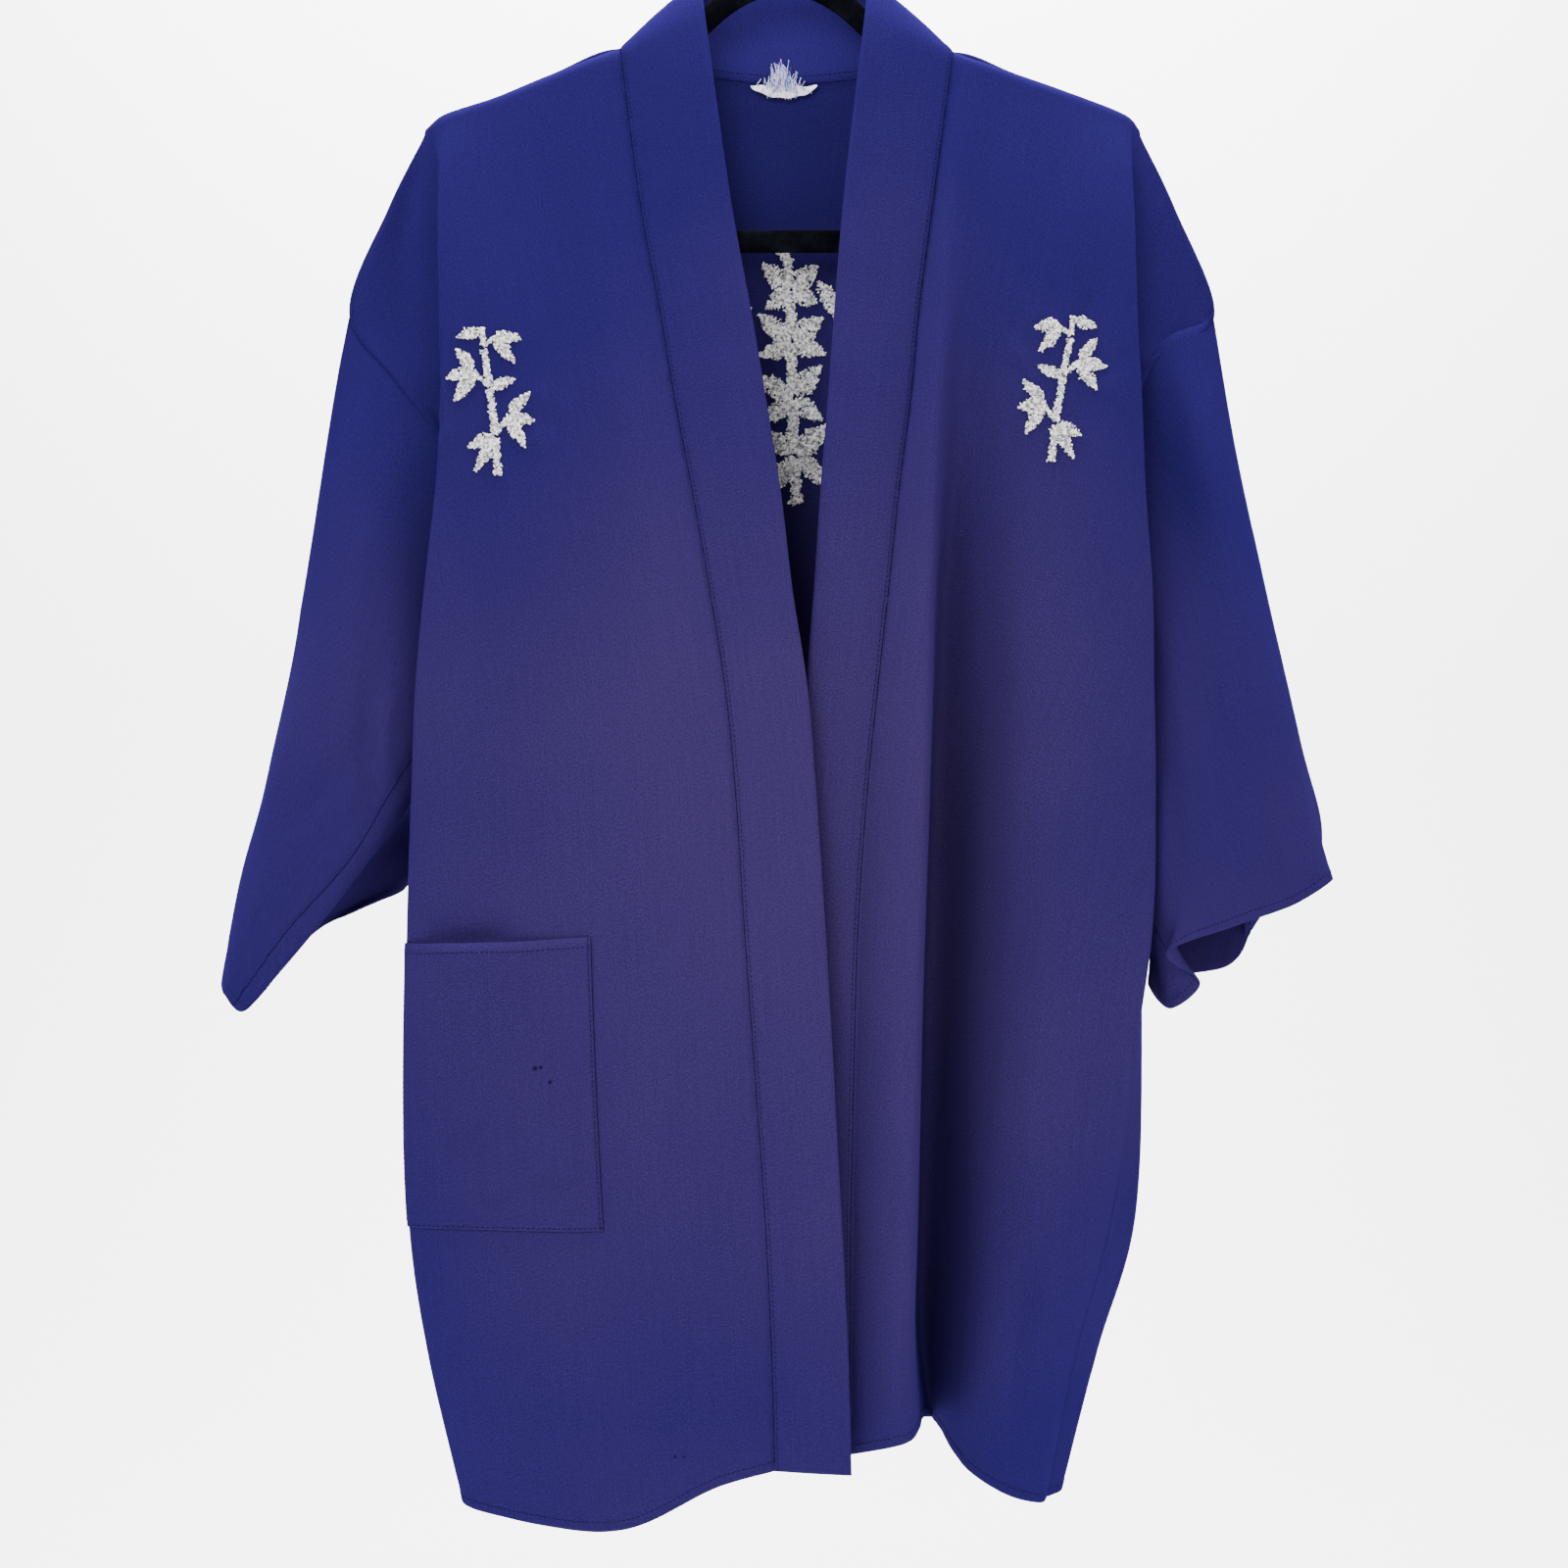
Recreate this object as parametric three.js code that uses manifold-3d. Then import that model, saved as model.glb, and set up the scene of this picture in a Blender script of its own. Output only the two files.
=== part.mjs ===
// A satin haori, a hip-length Japanese coat, hanging open on a flocked coat hanger.
// Millimetres. +X is to the viewer's right, the front faces -Y, +Z is up.
// The origin is the inside of the hook's top, where the hook sits on its rail.
import * as THREE from "three";
import { mergeVertices } from "three/addons/utils/BufferGeometryUtils.js";
import Module from "manifold-3d";

// ---- Driving dimensions -----------------------------------------------------------------------

const CLOTH = 1.2;               // wall of a cloth panel
const COLLAR_CLOTH = 2.4;        // the collar is folded double
const SEAM_GAP = 0.3;            // clear space where two sewn pieces meet
const LIFT = 0.4;                // clear space under a piece that lies on another
const COLLAR_SEAM = 0.7;         // from a panel's edge to the collar's edge
const SLEEVE_SEAM = 1.6;         // from a panel's edge to the sleeve's edge
const MOUTH_GAPE = 5;            // how far the pocket's mouth stands open

const HANGER_THICKNESS = 5;
const HANGER_ROUNDING = 1.6;     // radius of the hanger's long edges
const BAR_TOP = -235;            // the trouser bar
const BAR_BOTTOM = -249;
const HOOK_WIRE = 3.4;           // diameter of the hook's wire
const HOOK_RADIUS = 21;          // to the middle of the wire

const CLOTH_BLUE = "#2c2c80";
const COLLAR_BLUE = "#2b2d86";
const FLOCK_BLACK = "#14161a";
const LABEL_WHITE = "#d9dbe2";
const HOOK_STEEL = "#b9bcc2";

// ---- How each panel hangs ---------------------------------------------------------------------
// Every row is one section across a panel, from its collar seam or one side to the other side.
// Each place in a row, [across, forward or back, up], lies on one fold line of the cloth.

const RIGHT_FRONT = [
  // seam, chest, pocket, middle, edge, tuck, side
  { at: "ridge", row: [[-101, 0, -125], [-120, 0, -132], [-144, 0, -142], [-177, 0, -155],
    [-209, 0, -166], [-215, 0, -171], [-218, 0, -174]] },
  { at: "shoulder", row: [[-100, -6, -132], [-120, -6, -139], [-144, -6, -148], [-176, -6, -161],
    [-209, -6, -174], [-216, -4, -176], [-220, 0, -178]] },
  { at: "collarbone", row: [[-88, -12, -223], [-112, -14, -225], [-139, -12, -226], [-174, -15, -227],
    [-210, -18, -228], [-204, -9, -226], [-242, 0, -222]] },
  { at: "crown", row: [[-75, -18, -293], [-102, -23, -295], [-133, -20, -296], [-172, -25, -297],
    [-209, -27, -298], [-201, -12, -295], [-266, 0, -289]] },
  { at: "breast", row: [[-68, -22, -335], [-94, -29, -336], [-129, -25, -336], [-170, -29, -337],
    [-208, -30, -339], [-198, -13, -332], [-237, -9, -329]] },
  { at: "armhole", row: [[-56, -28, -398], [-85, -36, -398], [-125, -30, -398], [-168, -35, -398],
    [-211, -32, -398], [-194, -14, -390], [-209, -11, -369]] },
  { at: "rib", row: [[-46, -33, -454], [-77, -42, -456], [-122, -35, -457], [-167, -40, -457],
    [-216, -34, -457], [-191, -13, -456], [-200, -4, -440]] },
  { at: "underarm", row: [[-36, -38, -516], [-70, -47, -516], [-119, -40, -516], [-166, -43, -516],
    [-221, -35, -516], [-189, -10, -515], [-198, 2, -509]] },
  { at: "waist", row: [[-30, -42, -575], [-64, -50, -575], [-116, -44, -575], [-166, -46, -575],
    [-223, -36, -575], [-186, -7, -575], [-202, 6, -575]] },
  { at: "pocket_top", row: [[-24, -48, -665], [-58, -55, -665], [-115, -49, -666], [-168, -49, -669],
    [-225, -36, -670], [-184, -4, -668], [-210, 13, -671]] },
  { at: "pocket_foot", row: [[-12, -57, -830], [-51, -60, -833], [-107, -56, -840], [-163, -54, -840],
    [-224, -34, -840], [-182, -2, -839], [-213, 18, -844]] },
  { at: "skirt", row: [[-8, -60, -911], [-45, -64, -916], [-100, -60, -923], [-154, -56, -921],
    [-214, -29, -917], [-176, -1, -911], [-206, 18, -917]] },
  { at: "hem", row: [[-6, -62, -981], [-38, -67, -989], [-93, -64, -1015], [-139, -57, -1015],
    [-194, -24, -1007], [-168, 2, -995], [-186, 13, -995]] },
];

const LEFT_FRONT = [
  // seam, ridge, valley, slope, crown, edge, tuck, side
  { at: "ridge", row: [[104, 0, -127], [111, 0, -130], [129, 0, -136], [156, 0, -146], [183, 0, -155],
    [209, 0, -166], [214, 0, -170], [216, 0, -174]] },
  { at: "shoulder", row: [[103, -6, -134], [111, -6, -136], [129, -5, -143], [156, -6, -152],
    [182, -6, -162], [210, -6, -173], [214, -4, -176], [218, 0, -178]] },
  { at: "collarbone", row: [[91, -12, -223], [100, -18, -224], [119, -14, -224], [155, -16, -225],
    [185, -20, -227], [212, -20, -228], [207, -9, -226], [239, 0, -222]] },
  { at: "crown", row: [[82, -17, -292], [96, -28, -296], [112, -18, -296], [153, -22, -297],
    [187, -27, -298], [213, -28, -300], [203, -12, -296], [263, 0, -291]] },
  { at: "breast", row: [[78, -21, -335], [92, -33, -337], [108, -15, -337], [152, -24, -338],
    [188, -30, -339], [215, -31, -339], [200, -13, -335], [232, -12, -310]] },
  { at: "armhole", row: [[70, -25, -397], [89, -39, -399], [103, -6, -395], [150, -25, -397],
    [189, -32, -398], [217, -33, -398], [196, -14, -396], [209, -6, -360]] },
  { at: "rib", row: [[64, -28, -454], [86, -43, -458], [99, 4, -455], [148, -26, -457],
    [188, -34, -457], [221, -35, -457], [194, -12, -456], [200, -2, -437]] },
  { at: "underarm", row: [[57, -30, -516], [84, -47, -516], [97, 12, -514], [146, -26, -516],
    [187, -35, -516], [222, -35, -516], [195, -10, -515], [199, 3, -509]] },
  { at: "waist", row: [[51, -32, -575], [82, -50, -575], [95, 21, -575], [144, -25, -575],
    [185, -34, -575], [223, -34, -575], [202, -9, -575], [206, 4, -575]] },
  { at: "hip", row: [[45, -36, -666], [79, -53, -662], [93, 27, -666], [140, -22, -667],
    [179, -32, -667], [221, -28, -669], [215, -20, -674], [218, -12, -685]] },
  { at: "thigh", row: [[41, -42, -827], [74, -57, -828], [87, 33, -844], [127, -19, -836],
    [163, -29, -835], [191, -23, -835], [195, -19, -837], [198, -15, -838]] },
  { at: "skirt", row: [[40, -45, -908], [71, -59, -900], [86, 35, -914], [119, -18, -916],
    [151, -26, -921], [171, -18, -919], [174, -14, -921], [177, -10, -922]] },
  { at: "hem", row: [[40, -46, -975], [71, -60, -953], [92, 37, -970], [112, -18, -991],
    [136, -24, -1005], [155, -15, -1011], [158, -11, -1011], [160, -7, -1009]] },
];

const BACK = [
  // side_r, flank_r, fold_r, hollow_r, neck_r, nape_r, centre,
  // nape_l, neck_l, hollow_l, fold_l, flank_l, side_l
  { at: "ridge", row: [[-218, 0, -174], [-214, 0, -170], [-177, 0, -155], [-141, 0, -140],
    [-101, 0, -125], [-51, 15, -138], [0, 20, -142], [51, 15, -139], [104, 0, -127], [141, 0, -140],
    [180, 0, -154], [211, 0, -168], [216, 0, -174]] },
  { at: "shoulder", row: [[-220, 0, -178], [-216, 4, -174], [-178, 6, -159], [-141, 6, -144],
    [-101, 6, -129], [-51, 16, -144], [0, 22, -148], [51, 16, -145], [104, 6, -131], [141, 6, -144],
    [181, 6, -158], [213, 4, -173], [218, 0, -178]] },
  { at: "collarbone", row: [[-242, 0, -222], [-217, 9, -221], [-178, 16, -220], [-138, 14, -220],
    [-97, 18, -220], [-50, 22, -219], [0, 25, -218], [51, 22, -219], [98, 18, -220], [139, 15, -220],
    [179, 17, -220], [211, 10, -221], [239, 0, -222]] },
  { at: "crown", row: [[-266, 0, -289], [-225, 13, -288], [-179, 27, -289], [-136, 20, -290],
    [-94, 28, -288], [-47, 25, -289], [0, 30, -288], [50, 25, -289], [95, 28, -288], [138, 22, -289],
    [180, 28, -288], [218, 14, -288], [263, 0, -291]] },
  { at: "breast", row: [[-239, 7, -327], [-201, 20, -329], [-177, 32, -327], [-136, 23, -329],
    [-93, 32, -327], [-46, 27, -328], [0, 32, -327], [49, 27, -328], [94, 33, -327], [138, 25, -328],
    [177, 34, -327], [199, 20, -329], [235, 5, -308]] },
  { at: "armhole", row: [[-212, 13, -366], [-198, 29, -386], [-175, 40, -391], [-134, 27, -392],
    [-91, 38, -391], [-45, 30, -392], [0, 35, -391], [48, 30, -392], [93, 40, -391], [138, 29, -392],
    [176, 42, -391], [194, 29, -386], [211, 12, -357]] },
  { at: "rib", row: [[-202, 13, -439], [-193, 34, -449], [-174, 46, -452], [-132, 30, -453],
    [-89, 43, -452], [-43, 33, -453], [0, 38, -452], [46, 34, -453], [93, 47, -452], [138, 34, -453],
    [175, 48, -452], [191, 33, -450], [201, 15, -436]] },
  { at: "underarm", row: [[-198, 3, -509], [-191, 28, -512], [-173, 50, -513], [-131, 32, -514],
    [-88, 47, -513], [-43, 36, -514], [0, 41, -513], [46, 38, -514], [93, 52, -513], [139, 38, -514],
    [175, 52, -513], [191, 28, -512], [199, 4, -509]] },
  { at: "waist", row: [[-202, 7, -575], [-201, 30, -575], [-173, 54, -575], [-130, 34, -575],
    [-88, 50, -575], [-42, 38, -575], [0, 44, -575], [46, 42, -575], [94, 56, -575], [140, 42, -575],
    [178, 54, -575], [205, 28, -575], [206, 5, -575]] },
  { at: "hip", row: [[-210, 14, -672], [-216, 38, -670], [-177, 58, -668], [-128, 35, -667],
    [-88, 54, -668], [-42, 40, -667], [0, 47, -667], [47, 46, -667], [95, 61, -668], [140, 46, -667],
    [182, 54, -668], [217, 22, -681], [218, -11, -685]] },
  { at: "thigh", row: [[-213, 19, -845], [-229, 44, -845], [-180, 62, -839], [-127, 36, -835],
    [-89, 59, -838], [-41, 42, -836], [0, 52, -837], [48, 51, -837], [96, 66, -839], [137, 52, -837],
    [173, 58, -838], [215, 4, -842], [198, -14, -839]] },
  { at: "skirt", row: [[-206, 19, -917], [-223, 46, -919], [-178, 64, -913], [-126, 37, -909],
    [-88, 61, -913], [-41, 44, -910], [0, 54, -912], [49, 54, -912], [95, 68, -914], [131, 55, -912],
    [161, 58, -912], [192, 4, -922], [177, -9, -922]] },
  { at: "hem", row: [[-186, 14, -995], [-205, 44, -992], [-168, 62, -986], [-123, 38, -980],
    [-87, 62, -983], [-39, 46, -980], [0, 56, -981], [51, 56, -977], [93, 68, -977], [125, 56, -978],
    [148, 54, -989], [170, 4, -1007], [160, -6, -1010]] },
];

// Rings round each sleeve, from just outside the armhole to the hem of the cuff.

const RIGHT_SLEEVE = [
  // crown_front, front_a, front_b, front_c, seam, turn, back_c, back_b, back_a, crown_back
  { at: "drop", row: [[-281, -4, -370], [-268, -14, -378], [-237, -16, -399], [-211, -8, -455],
    [-205, -1, -520], [-207, 4, -522], [-217, 12, -478], [-235, 17, -417], [-263, 18, -381],
    [-280, 6, -371]] },
  { at: "elbow", row: [[-294, -4, -449], [-276, -20, -462], [-252, -24, -477], [-225, -20, -504],
    [-213, -9, -540], [-211, 5, -545], [-213, 24, -520], [-231, 36, -480], [-266, 34, -453],
    [-289, 16, -446]] },
  { at: "forearm", row: [[-311, 2, -540], [-303, -18, -549], [-278, -28, -560], [-250, -28, -570],
    [-230, -22, -567], [-222, -8, -575], [-220, 14, -581], [-233, 36, -563], [-265, 46, -544],
    [-296, 32, -535]] },
  { at: "wrist", row: [[-329, 12, -616], [-329, -6, -629], [-313, -22, -635], [-289, -26, -633],
    [-263, -25, -621], [-247, -17, -614], [-247, 2, -619], [-231, 30, -613], [-256, 50, -603],
    [-301, 40, -596]] },
  { at: "heel", row: [[-337, 16, -650], [-338, -2, -668], [-331, -13, -675], [-317, -18, -673],
    [-301, -20, -664], [-285, -17, -663], [-274, 6, -650], [-233, 28, -630], [-251, 48, -617],
    [-307, 44, -618]] },
  { at: "cuff", row: [[-343, 20, -677], [-345, 4, -696], [-342, -5, -702], [-339, -10, -705],
    [-335, -14, -710], [-329, -16, -713], [-289, 8, -666], [-234, 20, -639], [-246, 44, -630],
    [-314, 46, -633]] },
];

const LEFT_SLEEVE = [
  // crown_front, front_a, front_b, front_c, seam, turn, back_c, back_b, back_a, crown_back
  { at: "drop", row: [[275, -4, -370], [256, -20, -378], [238, -9, -396], [218, -13, -450],
    [209, -2, -518], [210, 4, -522], [219, 12, -478], [236, 17, -411], [258, 20, -378], [275, 7, -370]] },
  { at: "elbow", row: [[293, -4, -454], [274, -24, -464], [250, -22, -480], [229, -24, -510],
    [216, -12, -554], [217, 4, -560], [224, 26, -529], [246, 36, -486], [276, 30, -460], [293, 12, -453]] },
  { at: "forearm", row: [[314, -4, -544], [294, -26, -556], [266, -28, -568], [239, -28, -585],
    [222, -18, -612], [222, 0, -619], [233, 27, -600], [262, 36, -575], [296, 30, -554], [313, 12, -545]] },
  { at: "wrist", row: [[328, -6, -611], [306, -26, -624], [273, -29, -635], [242, -28, -647],
    [227, -14, -664], [227, 4, -675], [245, 22, -655], [275, 33, -639], [311, 28, -622], [327, 8, -613]] },
  { at: "cuff", row: [[334, -6, -633], [308, -23, -648], [273, -28, -660], [236, -24, -675],
    [224, -8, -689], [232, 4, -710], [255, 12, -702], [282, 26, -683], [290, 34, -659], [327, 16, -637]] },
];

// The collar's free edge, one place beside each row of the front it is sewn to.

const COLLAR_RIGHT = [
  [-51, 4, -81], [-48, -6, -106], [-32, -14, -221], [-19, -20, -293], [-12, -25, -335], [-2, -32, -398],
  [5, -37, -457], [14, -42, -516], [19, -45, -575], [25, -51, -665], [34, -60, -830], [38, -63, -911],
  [40, -65, -983],
];

const COLLAR_LEFT = [
  [52, 4, -81], [49, -6, -107], [36, -13, -220], [30, -18, -293], [27, -21, -335], [22, -25, -397],
  [18, -27, -457], [13, -30, -516], [7, -31, -575], [0, -34, -666], [-6, -40, -827], [-7, -43, -909],
  [-8, -44, -976],
];

// The same edge round the back of the neck, from the wearer's right to their left.
const COLLAR_NAPE = [
  [-51, 4, -81], [-35, 26, -66], [0, 36, -77], [37, 26, -66], [52, 4, -81],
];

// Mesh steps between one row and the next, and between one fold line and the next.
const ROW_STEPS = [1, 2, 2, 2, 2, 2, 2, 2, 2, 3, 2, 2];
const RIGHT_FRONT_STEPS = [2, 2, 2, 3, 3, 3];
const LEFT_FRONT_STEPS = [2, 3, 3, 2, 2, 3, 3];
const BACK_STEPS = Array(BACK[0].row.length - 1).fill(2);
const SLEEVE_STEPS = Array(RIGHT_SLEEVE[0].row.length).fill(2);
const SLEEVE_ROW_STEPS = 2;

// ---- Curves and grids -------------------------------------------------------------------------

const vector = ([x, y, z]) => new THREE.Vector3(x, y, z);

// Points along a smooth curve through the given ones, with a number of steps for each span.
function smooth(points, steps, closed = false) {
  const curve = new THREE.CatmullRomCurve3(points, closed, "centripetal");
  const spans = closed ? points.length : points.length - 1;
  const result = [];
  for (let span = 0; span < spans; span += 1) {
    for (let step = 0; step < steps[span]; step += 1) {
      result.push(curve.getPoint((span + step / steps[span]) / spans));
    }
  }
  if (!closed) {
    result.push(points[points.length - 1].clone());
  }
  return result;
}

// Turns a grid's rows into columns.
const transpose = (grid) => grid[0].map((_, column) => grid.map((row) => row[column]));

// A quarter turn of cloth between the shoulder's ridge and the row below it.
function turnOver(ridge, below) {
  const middle = ridge.clone().lerp(below, Math.SQRT1_2);
  middle.z = below.z + (ridge.z - below.z) * Math.SQRT1_2;
  return middle;
}

// A panel's grid of points: smooth down each fold line, then smooth across each section.
function panelGrid(table, columnSteps) {
  const lines = transpose(table.map(({ row }) => row.map(vector)));
  const down = lines.map((line) => {
    const [ridge, ...rest] = line;
    return [ridge, turnOver(ridge, rest[0]), ...smooth(rest, ROW_STEPS.slice(1))];
  });
  return transpose(down).map((row) => smooth(row, columnSteps));
}

// Draws two panels apart where they are sewn: along the shoulder and down the sides.
function partAtSeams(grid, direction) {
  const last = grid[0].length - 1;
  grid.forEach((row, index) => {
    row.forEach((point, column) => {
      const onSide = column === 0 || column === last;
      if (index === 0 || onSide) {
        point.y += direction * (onSide ? CLOTH + SEAM_GAP : SEAM_GAP);
      }
    });
  });
  return grid;
}

const difference = (a, b) => new THREE.Vector3().subVectors(a, b);

// The surface normal at each point of a grid.
function normals(grid, closed) {
  const width = grid[0].length;
  return grid.map((row, i) => row.map((_, j) => {
    const up = grid[Math.max(i - 1, 0)][j];
    const down = grid[Math.min(i + 1, grid.length - 1)][j];
    const left = closed ? row[(j + width - 1) % width] : row[Math.max(j - 1, 0)];
    const right = closed ? row[(j + 1) % width] : row[Math.min(j + 1, width - 1)];
    return difference(down, up).cross(difference(right, left)).normalize();
  }));
}

// A grid moved off along its normals.
function offset(grid, distance, closed = false) {
  const out = normals(grid, closed);
  return grid.map((row, i) => row.map((p, j) => p.clone().addScaledVector(out[i][j], distance)));
}

// A closed wall of cloth of an even thickness on both sides of a grid.
function wall(grid, thickness, closed = false) {
  const faces = [offset(grid, thickness / 2, closed), offset(grid, -thickness / 2, closed)];
  const rows = grid.length;
  const columns = grid[0].length;
  const positions = faces.flat(2).flatMap((point) => point.toArray());
  const at = (side, i, j) => side * rows * columns + i * columns + (j % columns);
  const index = [];
  const quad = (a, b, c, d) => index.push(a, b, c, a, c, d);
  const across = closed ? columns : columns - 1;
  for (let i = 0; i < rows - 1; i += 1) {
    for (let j = 0; j < across; j += 1) {
      quad(at(0, i, j), at(0, i + 1, j), at(0, i + 1, j + 1), at(0, i, j + 1));
      quad(at(1, i, j), at(1, i, j + 1), at(1, i + 1, j + 1), at(1, i + 1, j));
    }
  }
  for (let j = 0; j < across; j += 1) {
    quad(at(0, 0, j), at(0, 0, j + 1), at(1, 0, j + 1), at(1, 0, j));
    quad(at(0, rows - 1, j + 1), at(0, rows - 1, j), at(1, rows - 1, j), at(1, rows - 1, j + 1));
  }
  if (!closed) {
    const end = columns - 1;
    for (let i = 0; i < rows - 1; i += 1) {
      quad(at(0, i + 1, 0), at(0, i, 0), at(1, i, 0), at(1, i + 1, 0));
      quad(at(0, i, end), at(0, i + 1, end), at(1, i + 1, end), at(1, i, end));
    }
  }
  const geometry = new THREE.BufferGeometry();
  geometry.setAttribute("position", new THREE.Float32BufferAttribute(positions, 3));
  geometry.setIndex(index);
  return geometry;
}

// A solid that closes on itself in both directions, through a loop of closed sections.
function ring(sections) {
  const around = sections[0].length;
  const at = (i, j) => (i % sections.length) * around + (j % around);
  const index = [];
  sections.forEach((section, i) => {
    section.forEach((_, j) => {
      index.push(at(i, j), at(i + 1, j), at(i + 1, j + 1));
      index.push(at(i, j), at(i + 1, j + 1), at(i, j + 1));
    });
  });
  const positions = sections.flat().flatMap((point) => point.toArray());
  const geometry = new THREE.BufferGeometry();
  geometry.setAttribute("position", new THREE.Float32BufferAttribute(positions, 3));
  geometry.setIndex(index);
  return geometry;
}

// A round or faceted rod of one diameter along a curve.
function rod(path, diameter, sides, steps) {
  const section = new THREE.Shape();
  for (let side = 0; side < sides; side += 1) {
    const angle = (side / sides) * 2 * Math.PI;
    const x = (Math.cos(angle) * diameter) / 2;
    const y = (Math.sin(angle) * diameter) / 2;
    if (side === 0) {
      section.moveTo(x, y);
    } else {
      section.lineTo(x, y);
    }
  }
  return new THREE.ExtrudeGeometry(section, { extrudePath: path, steps, bevelEnabled: false });
}

// The first mesh row of a section of a panel, found by the section's name.
function meshRow(name) {
  const section = RIGHT_FRONT.findIndex(({ at }) => at === name);
  return ROW_STEPS.slice(0, section).reduce((sum, steps) => sum + steps, 0) + 1;
}

// ---- Body panels ------------------------------------------------------------------------------

const rightFront = partAtSeams(panelGrid(RIGHT_FRONT, RIGHT_FRONT_STEPS), -1);
const leftFront = partAtSeams(panelGrid(LEFT_FRONT, LEFT_FRONT_STEPS), -1);
const back = partAtSeams(panelGrid(BACK, BACK_STEPS), 1);

// ---- Sleeves ----------------------------------------------------------------------------------

const ARMHOLE_TOP = meshRow("crown");
const ARMHOLE_FOOT = meshRow("underarm");

// The armhole's edge: down the front panel, across the underarm and up the back panel.
function armhole(front, backColumn) {
  const down = front.slice(ARMHOLE_TOP, ARMHOLE_FOOT + 1);
  const up = backColumn.slice(ARMHOLE_TOP, ARMHOLE_FOOT + 1).reverse();
  const underarm = down[down.length - 1].clone().lerp(up[0], 0.5);
  const top = up[up.length - 1].clone().lerp(down[0], 0.5);
  return [...down, underarm, ...up, top];
}

// A sleeve's grid: rings from the armhole to the cuff, smooth along every line.
function sleeveGrid(edge, table) {
  const rings = table.map(({ row }) => smooth(row.map(vector), SLEEVE_STEPS, true));
  const start = edge.map((point, index) => {
    const direction = difference(rings[0][index], point).normalize();
    return point.clone().addScaledVector(direction, SLEEVE_SEAM);
  });
  const lines = transpose([start, ...rings]);
  const steps = Array(rings.length).fill(SLEEVE_ROW_STEPS);
  return transpose(lines.map((line) => smooth(line, steps)));
}

const lastOf = (row) => row[row.length - 1];
const rightEdge = armhole(rightFront.map(lastOf), back.map((row) => row[0]));
const leftEdge = armhole(leftFront.map(lastOf), back.map(lastOf));
const rightSleeve = sleeveGrid(rightEdge, RIGHT_SLEEVE);
const leftSleeve = sleeveGrid(leftEdge, LEFT_SLEEVE);

// ---- Collar -----------------------------------------------------------------------------------

// The neck's edge along the top of the back panel, from one front to the other.
function napeSeam() {
  const first = BACK_STEPS.slice(0, 4).reduce((sum, steps) => sum + steps, 0);
  return back[0].slice(first + 1, back[0].length - first - 1);
}

// One band from hem to hem: up the right front, round the nape, down the left front.
function collarGrid() {
  const seam = [
    ...rightFront.map((row) => row[0]).reverse(),
    ...napeSeam(),
    ...leftFront.map((row) => row[0]),
  ];
  const frontSteps = [2, ...ROW_STEPS.slice(1)];
  const right = smooth(COLLAR_RIGHT.map(vector), frontSteps).reverse();
  const left = smooth(COLLAR_LEFT.map(vector), frontSteps);
  const nape = smooth(COLLAR_NAPE.map(vector), [2, 2, 2, 2]).slice(1, -1);
  const edge = [...right, ...nape, ...left];
  return seam.map((point, index) => {
    const across = difference(edge[index], point);
    const start = point.clone().addScaledVector(across.clone().normalize(), COLLAR_SEAM);
    return [0, 0.33, 0.67, 1].map((part) => start.clone().lerp(edge[index], part));
  });
}

// ---- Patch pocket -----------------------------------------------------------------------------

// The pocket lies on the right front from its pocket line to the fold at the side.
function pocketGrid() {
  const top = meshRow("pocket_top");
  const foot = meshRow("pocket_foot");
  const inner = RIGHT_FRONT_STEPS[0] + RIGHT_FRONT_STEPS[1];
  const outer = inner + RIGHT_FRONT_STEPS[2] + RIGHT_FRONT_STEPS[3];
  const onPanel = offset(rightFront, -(CLOTH + LIFT)).slice(top, foot + 1);
  const grid = onPanel.map((row) => row.slice(inner, outer + 1));
  grid[0].forEach((point, column) => {
    const part = column / (grid[0].length - 1);
    point.y -= MOUTH_GAPE * Math.sin(Math.PI * part) ** 2;
  });
  return grid;
}

// ---- Label stub -------------------------------------------------------------------------------
// What is left of a cut-off label: a narrow strip under the neck seam, with frayed threads above.

const LABEL_WIDTH = 40;
const LABEL_HEIGHT = 8;
const LABEL_CLOTH = 1;
const LABEL_DROP = 2;            // below the neck seam
const STRANDS = 16;
const STRAND_WIDTH = 1;
const LONGEST_STRAND = 15;

// A repeatable number from 0 to 1 that looks random.
function scatter(seed) {
  return THREE.MathUtils.euclideanModulo(Math.sin(seed * 12.9898) * 43758.5453, 1);
}

function labelGrid() {
  const middle = (back[0].length - 1) / 2;
  const seam = back[0].slice(middle - 2, middle + 3);
  const curve = new THREE.CatmullRomCurve3(seam, false, "centripetal");
  const span = LABEL_WIDTH / difference(lastOf(seam), seam[0]).length();
  const forward = CLOTH / 2 + LIFT + LABEL_CLOTH;
  return [0, 0.5, 1].map((part) => {
    const row = [];
    for (let along = -0.5; along <= 0.5; along += 0.125) {
      const point = curve.getPoint(0.5 + along * span);
      point.y -= forward;
      point.z -= LABEL_DROP + part * (2 + LABEL_HEIGHT * Math.cos(Math.PI * along * 0.8));
      row.push(point);
    }
    return row;
  });
}

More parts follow.
